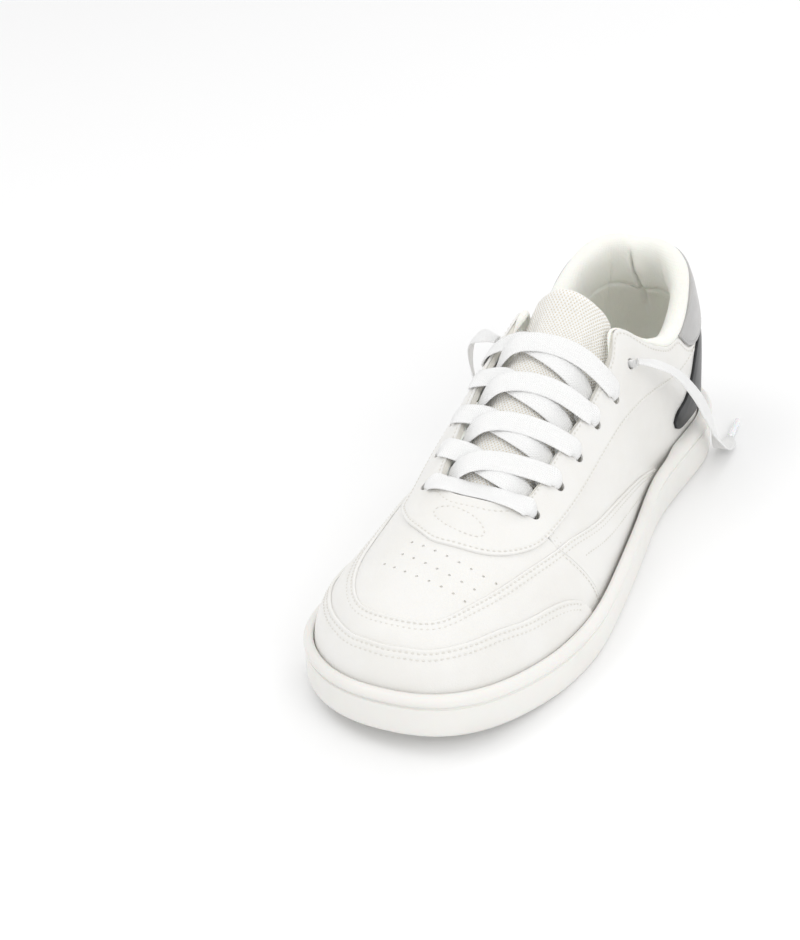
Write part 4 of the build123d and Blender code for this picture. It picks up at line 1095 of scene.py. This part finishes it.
def make_collar():
    """One soft form: the roll over the top line, the pad behind it and the lining down to the footbed."""
    low = rim_curve(-9, -9, LOWER_EDGE, "heel")
    high = arch(COLLAR_TOP, 900)
    u = np.linspace(0, 1, 520)
    v = np.linspace(0, 1, 60)
    first, last = np.linspace(low[0], high[0], 40), np.linspace(low[-1], high[-1], 40)
    grid = on_last(coons(low, high, first, last, u, v))
    top = grid[-1]
    corner = np.where(top[:, 0] < 0, 0.75, 0.4)
    roll = corner * ease((top[:, 1] - 32) / 9) + (1 - corner) * ease((top[:, 1] - 46) / 34)
    pad = ease((top[:, 1] - 47) / 28)
    down = grid[::-1]
    reach = np.cumsum(np.linalg.norm(np.diff(down, axis=0, prepend=down[:1]), axis=2), axis=0)
    total = reach[-1]
    lower_s = np.linspace(0, 1, 9)[1:]
    s_list = [np.full(len(u), s) * np.minimum(1, (total - 4) / 54) for s, d in ROLL]
    flat = [np.maximum(s, 0.3) for s in s_list]
    swell = [roll + (pad - roll) * ease((k - 7) / 5) for k in range(len(ROLL))]
    s_rows = [w * a + (1 - w) * b for w, a, b in zip(swell, s_list, flat)]
    d_rows = [w * d + (1 - w) * (4.7 + 0.02 * k) for k, (w, (s, d)) in enumerate(zip(swell, ROLL))]
    s_rows += [s_rows[-1] + (total - s_rows[-1]) * t for t in lower_s]
    d_rows += [np.full(len(u), 5.4) for t in lower_s]
    # the way back up, between the lining and the outer layers
    for t in np.linspace(1, 0, 8):
        s_rows.append(8 + (total - 8) * t)
        d_rows.append(pad * 3.9 + (1 - pad) * 5.9)
    arc = np.cumsum(np.linalg.norm(np.diff(top, axis=0, prepend=top[:1]), axis=1))
    arc -= arc[len(u) // 2]
    rear = ease((70 - np.abs(arc)) / 25)
    pull = 0.06 * np.cos(arc / 5.2) * np.exp(-np.abs(arc) / 120)
    rows = []
    for k, (s, d) in enumerate(zip(s_rows, d_rows)):
        point = np.stack([[np.interp(max(a, 0), reach[:, j], down[:, j, c]) for j, a in enumerate(s)]
                          for c in range(3)], -1)
        point = along_smoothed(point, rear)
        normal = along_smoothed(normal_at(point), rear)
        normal /= np.linalg.norm(normal, axis=1, keepdims=True)
        if np.any(s < 0):
            along = np.gradient(point, axis=0)
            along /= np.linalg.norm(along, axis=1, keepdims=True)
            up = np.cross(along, normal)
            up *= np.sign(up[:, 2:3])
            point = point + up * np.maximum(-s, 0)[:, None]
        depth = np.asarray(d, float)
        if 4 <= k <= 24:
            depth = depth + (depth - 6) * pull * pad
        if 11 < k < len(s_rows) - 8:
            depth = depth - lining_grooves(s, arc, pad)
        rows.append(point - normal * depth[:, None])
    verts = np.array(rows)
    n, cols = verts.shape[:2]
    flat_verts = verts.reshape(-1, 3)
    faces = grid_faces(n, cols)
    faces += [(j + 1, j, (n - 1) * cols + j, (n - 1) * cols + j + 1) for j in range(cols - 1)]
    faces.append(tuple(i * cols for i in range(n)))
    faces.append(tuple(i * cols + cols - 1 for i in range(n))[::-1])
    obj = new_piece("collar_and_lining", flat_verts, faces, smooth_limit=60)
    outward(obj)
    finish_piece(obj, "lining_smooth", ("quarter_lining", "collar_foam"))


# --- tongue ---------------------------------------------------------------------------------
def make_tongue():
    low, high = arch(TONGUE_BASE), arch(TONGUE_TOP)
    start = curve([low[0], *placed([(-a, b, c) for a, b, c in TONGUE_SIDE]), high[0]], 400)
    end = curve([low[-1], *placed(TONGUE_SIDE), high[-1]], 400)
    u = graded(70, [0, 0.4, 0.9, 1.5, 2.2, 3.0, 4.0], 0.9)
    v = graded(125, [0, 0.4, 0.9, 1.5, 2.2, 3.0, 4.0], 1.0)
    free = coons(low, high, start, end, u, v)
    grid = on_last(free)
    inward = normal_at(grid)
    loose = ease((v - 0.55) / 0.45)[:, None, None]
    grid = grid * (1 - loose) + free * loose
    s = np.abs(2 * u - 1)[None, :]
    vv = v[:, None]
    lift = ease((vv - 0.7) / 0.3)
    middle = TONGUE_DEPTH_MIDDLE * (1 - lift) + 2.0 * lift
    edge = TONGUE_DEPTH_SIDE * (1 - lift) + 6.0 * lift
    depth = middle + (edge - middle) * ((1 - lift) * ease((s - 0.3) / 0.3) + lift * s**2)
    pad = 0.9 + (TONGUE_PAD - 0.9) * (1 - ease((s - 0.45) / 0.5)) * ease(vv / 0.2)
    thick = TONGUE_FACE + pad + 1.0
    gaps = edge_gap(grid)
    gap = np.minimum.reduce(gaps)
    r = np.minimum(thick * 0.52, 3.2)
    round_off = r * (1 - np.sqrt(np.clip(1 - (1 - np.clip(gap / r, 0, 1)) ** 2, 0, 1)))
    front = grid - depth[..., None] * inward
    through = np.cross(np.gradient(front, axis=1), np.gradient(front, axis=0))
    through /= np.linalg.norm(through, axis=2, keepdims=True)
    through *= np.sign((through * inward).sum(axis=2, keepdims=True))
    through = inward * (1 - loose) + through * loose
    through /= np.linalg.norm(through, axis=2, keepdims=True)
    at = lambda d: front - (d * np.ones(grid.shape[:2]))[..., None] * through
    centre = gaps[2] - gaps[2][:, len(u) // 2][:, None]
    uv = np.stack([centre, gaps[0]], -1)
    face = closed_pair("tongue_face_mesh", at(round_off), at(np.maximum(thick * 0.5, round_off)), uv)
    back = closed_pair("tongue_back", at(thick * 0.5 + 0.02), at(thick - round_off * 0.95), uv)
    finish_piece(face, "lining_mesh", ("tongue_face", "tongue_foam"), TONGUE)
    finish_piece(back, "lining_smooth", ("tongue_lining",), TONGUE)


# --- upper ----------------------------------------------------------------------------------
def inset_line(grid, edge, distance):
    """The line on a panel at a distance in from one of its edges, fixed or given for each column."""
    gaps = dict(zip(("low", "high", "first", "last"), edge_gap(grid)))[edge]
    if edge in ("low", "high"):
        order = slice(None) if edge == "low" else slice(None, None, -1)
        far = np.broadcast_to(distance, grid.shape[1])
        cols = [[np.interp(far[j], gaps[order, j], grid[order, j, c]) for c in range(3)]
                for j in range(grid.shape[1])]
    else:
        order = slice(None) if edge == "first" else slice(None, None, -1)
        cols = [[np.interp(distance, gaps[i, order], grid[i, order, c]) for c in range(3)]
                for i in range(grid.shape[0])]
    return spaced(np.array(cols), np.linspace(0, 1, 900))


def trimmed(line, start=0.0, end=0.0):
    """A line without its first and last millimetres."""
    whole = length_of(line)
    return spaced(line, np.linspace(start / whole, 1 - end / whole, 900))


def rounded_middle(line, reach=7.0):
    """A curve with its corner on the centre line rounded off."""
    fine = spaced(line, np.linspace(0, 1, 801))
    half = int(reach / (length_of(fine) / 800))
    kernel = np.hanning(2 * half + 1)
    padded = np.pad(fine, ((half, half), (0, 0)), mode="edge")
    soft = np.stack([np.convolve(padded[:, c], kernel / kernel.sum(), mode="valid") for c in range(3)], 1)
    weight = ease(1.6 - np.abs(fine[:, :1]) / reach)
    return fine * (1 - weight) + soft * weight


def on_surface(guide, count=600):
    """A line on the last through surface points in x, y, z."""
    return on_last(curve(guide, count))


def make_upper():
    sewn = {"top": [], "overlay": [], "base": []}

    def keep(kind, *lines):
        sewn[kind].extend(lines)
        return list(lines)

    # toe cap
    cap = panel_grid(rim_curve(-57, -57, LOWER_EDGE, "toe"), arch(CAP_EDGE))
    lines = [trimmed(inset_line(cap, "high", far), end, end) for far, end in ((1.9, 9), (4.4, 11))]
    rows = keep("top", *lines)
    piece = panel("toe_cap_leather", cap, TOP_LAYER, rows=rows)
    finish_piece(piece, "white_leather", ("toe_cap",))

    # front foxing, round the toe under the cap
    seam = [(53.8, -48, 24), (47.6, -56, 40)]
    high = arch(FOXING_EDGE[:6] + [(40, -68, 49.5), (41.6, -60.5, 49)])
    front = panel_grid(rim_curve(-44, -44, LOWER_EDGE, "toe"), high, [(-a, b, c) for a, b, c in seam], seam)
    rows = keep("overlay", inset_line(front, "high", 1.5), inset_line(front, "high", 3.9))
    rows += keep("overlay", *[trimmed(inset_line(front, end, 1.6), 8, 5) for end in ("first", "last")])
    piece = panel("foxing_front_leather", front, OVERLAY_LAYER, (False, True, SEAM_RADIUS, SEAM_RADIUS), rows)
    finish_piece(piece, "white_leather", ("foxing_front",))

    # side foxings
    for side, name in ((1, "lateral"), (-1, "medial")):
        low = side_rim(side, -43.85, 62, LOWER_EDGE)
        edge = side_curve(side, [(41.63, -60.35, 49)] + FOXING_EDGE[7:] + [(45.4, 56, 23)])
        turn = [(side * a, b, c) for a, b, c in [(53.8, -47.85, 24), (47.6, -55.85, 40)]]
        fox = panel_grid(low, edge, turn)
        rows = keep("overlay", inset_line(fox, "high", 1.5), inset_line(fox, "high", 3.9))
        rows += keep("overlay", trimmed(inset_line(fox, "high", 11.5), 8, 8))
        piece = panel("foxing_%s_leather" % name, fox, OVERLAY_LAYER, (False, True, SEAM_RADIUS, False), rows)
        finish_piece(piece, "white_leather", ("foxing_" + name,))

    # vamp with its perforations
    vamp = panel_grid(arch(VAMP_EDGE), arch(VAMP_BACK), step=2.0)
    piece = panel("vamp_leather", vamp, BASE_LAYER, (False, False, False, False))
    holes = on_last(np.vstack([on_surface(row, 400)[np.linspace(0, 399, count).astype(int)]
                               for row, count in PERFORATIONS]))
    cut(piece, pins("vamp_pins", holes, normal_at(holes), *PERFORATION_CUT))
    finish_piece(piece, "white_leather", ("vamp",))

    # quarters
    for side, name in ((1, "lateral"), (-1, "medial")):
        low = rim_half(side, -59.5, LOWER_EDGE)
        edge = side_curve(side, EYESTAY_UNDER + QUARTER_BACK[:-1] + [(0.2, 137.5, 94)])
        grid = panel_grid(low, edge, [(side * 46.3, -59.6, 42), (side * 38.6, -59.7, 53)], step=2.5)
        piece = panel("quarter_%s_leather" % name, grid, BASE_LAYER, (False, False, True, False))
        finish_piece(piece, "white_leather", ("quarter_" + name,))
        lines = [inset_line(grid, "first", 1.5), inset_line(grid, "first", 3.6)]
        keep("base", *[trimmed(line, length_of(line) * 0.55, 0.5) for line in lines])

    # eyestay: round the throat and back to its tail beside the heel
    upper = FACING + COLLAR[:5] + [(39.3, 86, 76), (40.3, 91, 71.5), (41, 97, 66.5), (40.8, 104, 64.6)]
    stay = panel_grid(arch(EYESTAY_EDGE, 900), arch(upper, 900), step=1.8)
    throat = 2.0 + 2.6 * ease((-46 - stay[-1, :, 1]) / 13)
    front_row = spaced(inset_line(stay, "high", throat), np.linspace(0.0, 1.0, 1200))
    rows = keep("overlay", inset_line(stay, "low", 1.9), front_row, oval_line())
    piece = panel("eyestay_leather", stay, OVERLAY_LAYER, ALL_CUT, rows)
    cut(piece, pins("eyelet_pins", *eyelet_axes(), *EYELET_CUT))
    finish_piece(piece, "white_leather", ("eyestay",))

    # heel panel and tab
    heel = panel_grid(arch(HEEL_PANEL_LOW), rounded_middle(arch(HEEL_PANEL_TOP)), step=2.2)
    piece = panel("heel_panel_gloss", heel, OVERLAY_LAYER, ALL_CUT, puff=0.25)
    finish_piece(piece, "dark_gloss", ("heel_panel",))
    high = COLLAR[5:][::-1]
    high[-1] = (39.3, 88.2, 76.8)
    tab = panel_grid(rounded_middle(arch(HEEL_TAB_LOW)), arch(high), step=2.0)
    rows = [inset_line(tab, "low", 1.8)]
    piece = panel("heel_tab_leather", tab, TAB_LAYER, ALL_CUT, rows, puff=0.2)
    finish_piece(piece, "grey_leather", ("heel_tab",))

    for kind, layer in (("top", TOP_LAYER), ("overlay", OVERLAY_LAYER), ("base", BASE_LAYER)):
        obj = stitches("stitches_" + kind, sewn[kind], layer[0] + STITCH_DIP)
        finish_piece(obj, "white_leather", look="thread")
    obj = stitches("stitches_tab", rows, TAB_LAYER[0] + STITCH_DIP)
    finish_piece(obj, "grey_leather")


def make_vamp_lining():
    """Smooth lining under the vamp and the front of the facing, with a hole behind each eyelet."""
    grid = panel_grid(rim_curve(-10, -10, LOWER_EDGE, "toe"), arch(FACING[:6] + [(31, -9, 76.8)]), step=3.0)
    piece = panel("vamp_lining_skin", grid, LINING_LAYER)
    cut(piece, pins("lining_pins", *eyelet_axes(), *EYELET_CUT))
    finish_piece(piece, "lining_smooth", ("vamp_lining",))


def eyelet_axes():
    points = np.vstack([placed(EYELETS), placed([(-a, b, c) for a, b, c in EYELETS])])
    points = on_last(points)
    return points, normal_at(points)


def oval_line():
    """Closed stitched oval in front of the throat."""
    t = np.linspace(0, 2 * np.pi, 200)
    x = OVAL_CENTRE[0] + OVAL_SIZE[0] * np.cos(t)
    y = OVAL_CENTRE[1] + OVAL_SIZE[1] * np.sin(t) + OVAL_TILT * np.cos(t)
    guide = np.c_[x, y, ridge_z(y) - 1.0]
    return spaced(on_last(guide), np.linspace(0, 1, 600))


def make_inner_parts():
    """CAD parts whose shape stays: a real material for each."""
    for node, slot in (("midsole_insert", "eva"), ("strobel_board", "board"), ("toe_puff", "stiffener"),
                       ("heel_counter", "stiffener"), ("eyestay_backer_lateral", "stiffener"),
                       ("eyestay_backer_medial", "stiffener")):
        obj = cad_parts[node]
        obj.data.materials.clear()
        obj.data.materials.append(MATERIALS[slot])


# --- floor and light ------------------------------------------------------------------------
def make_stage():
    mesh = bpy.data.meshes.new("floor")
    mesh.from_pydata([(-4, -4, 0), (4, -4, 0), (4, 4, 0), (-4, 4, 0)], [], [(0, 1, 2, 3)])
    floor = bpy.data.objects.new("floor", mesh)
    bpy.context.scene.collection.objects.link(floor)
    look = Look("floor", (0.93, 0.93, 0.93), 0.6)
    look.tint(look.noise(3, 2), (0.925, 0.925, 0.925), (0.935, 0.935, 0.935))
    mesh.materials.append(look.material)


def area_light(name, place, aim, size, power, colour=(1, 1, 1)):
    data = bpy.data.lights.new(name, "AREA")
    data.shape = "DISK"
    data.size = size
    data.energy = power
    data.color = colour
    obj = bpy.data.objects.new(name, data)
    obj.location = place
    obj.rotation_euler = (Vector(aim) - Vector(place)).to_track_quat("-Z", "Y").to_euler()
    bpy.context.scene.collection.objects.link(obj)


def make_light():
    world = bpy.data.worlds.new("world")
    bpy.context.scene.world = world
    world.use_nodes = True
    world.node_tree.nodes["Background"].inputs[0].default_value = (1.0, 1.0, 1.0, 1)
    world.node_tree.nodes["Background"].inputs[1].default_value = WORLD_LIGHT
    area_light("key", (-0.5, -0.35, 1.1), (0, 0, 0.04), 0.7, 2.4)
    area_light("fill", (0.9, -0.6, 0.8), (0, 0, 0.04), 0.9, 3.3)
    area_light("rim", (0.2, 1.0, 0.9), (0, 0, 0.06), 0.8, 1.8)
    view = bpy.context.scene.view_settings
    view.view_transform = "Standard"
    view.look = "None"
    view.exposure = 0.0
    view.gamma = 1.0


make_camera()
free_end("lateral_end", LATERAL_END, (0, 1, 0.3), LATERAL_TURNS, "lateral")
free_end("medial_end", MEDIAL_END, (0, 1, 0.3), MEDIAL_TURNS, "medial")
held_lace()
make_sole()
make_footbed()
make_collar()
make_tongue()
make_upper()
make_vamp_lining()
make_inner_parts()
make_stage()
make_light()
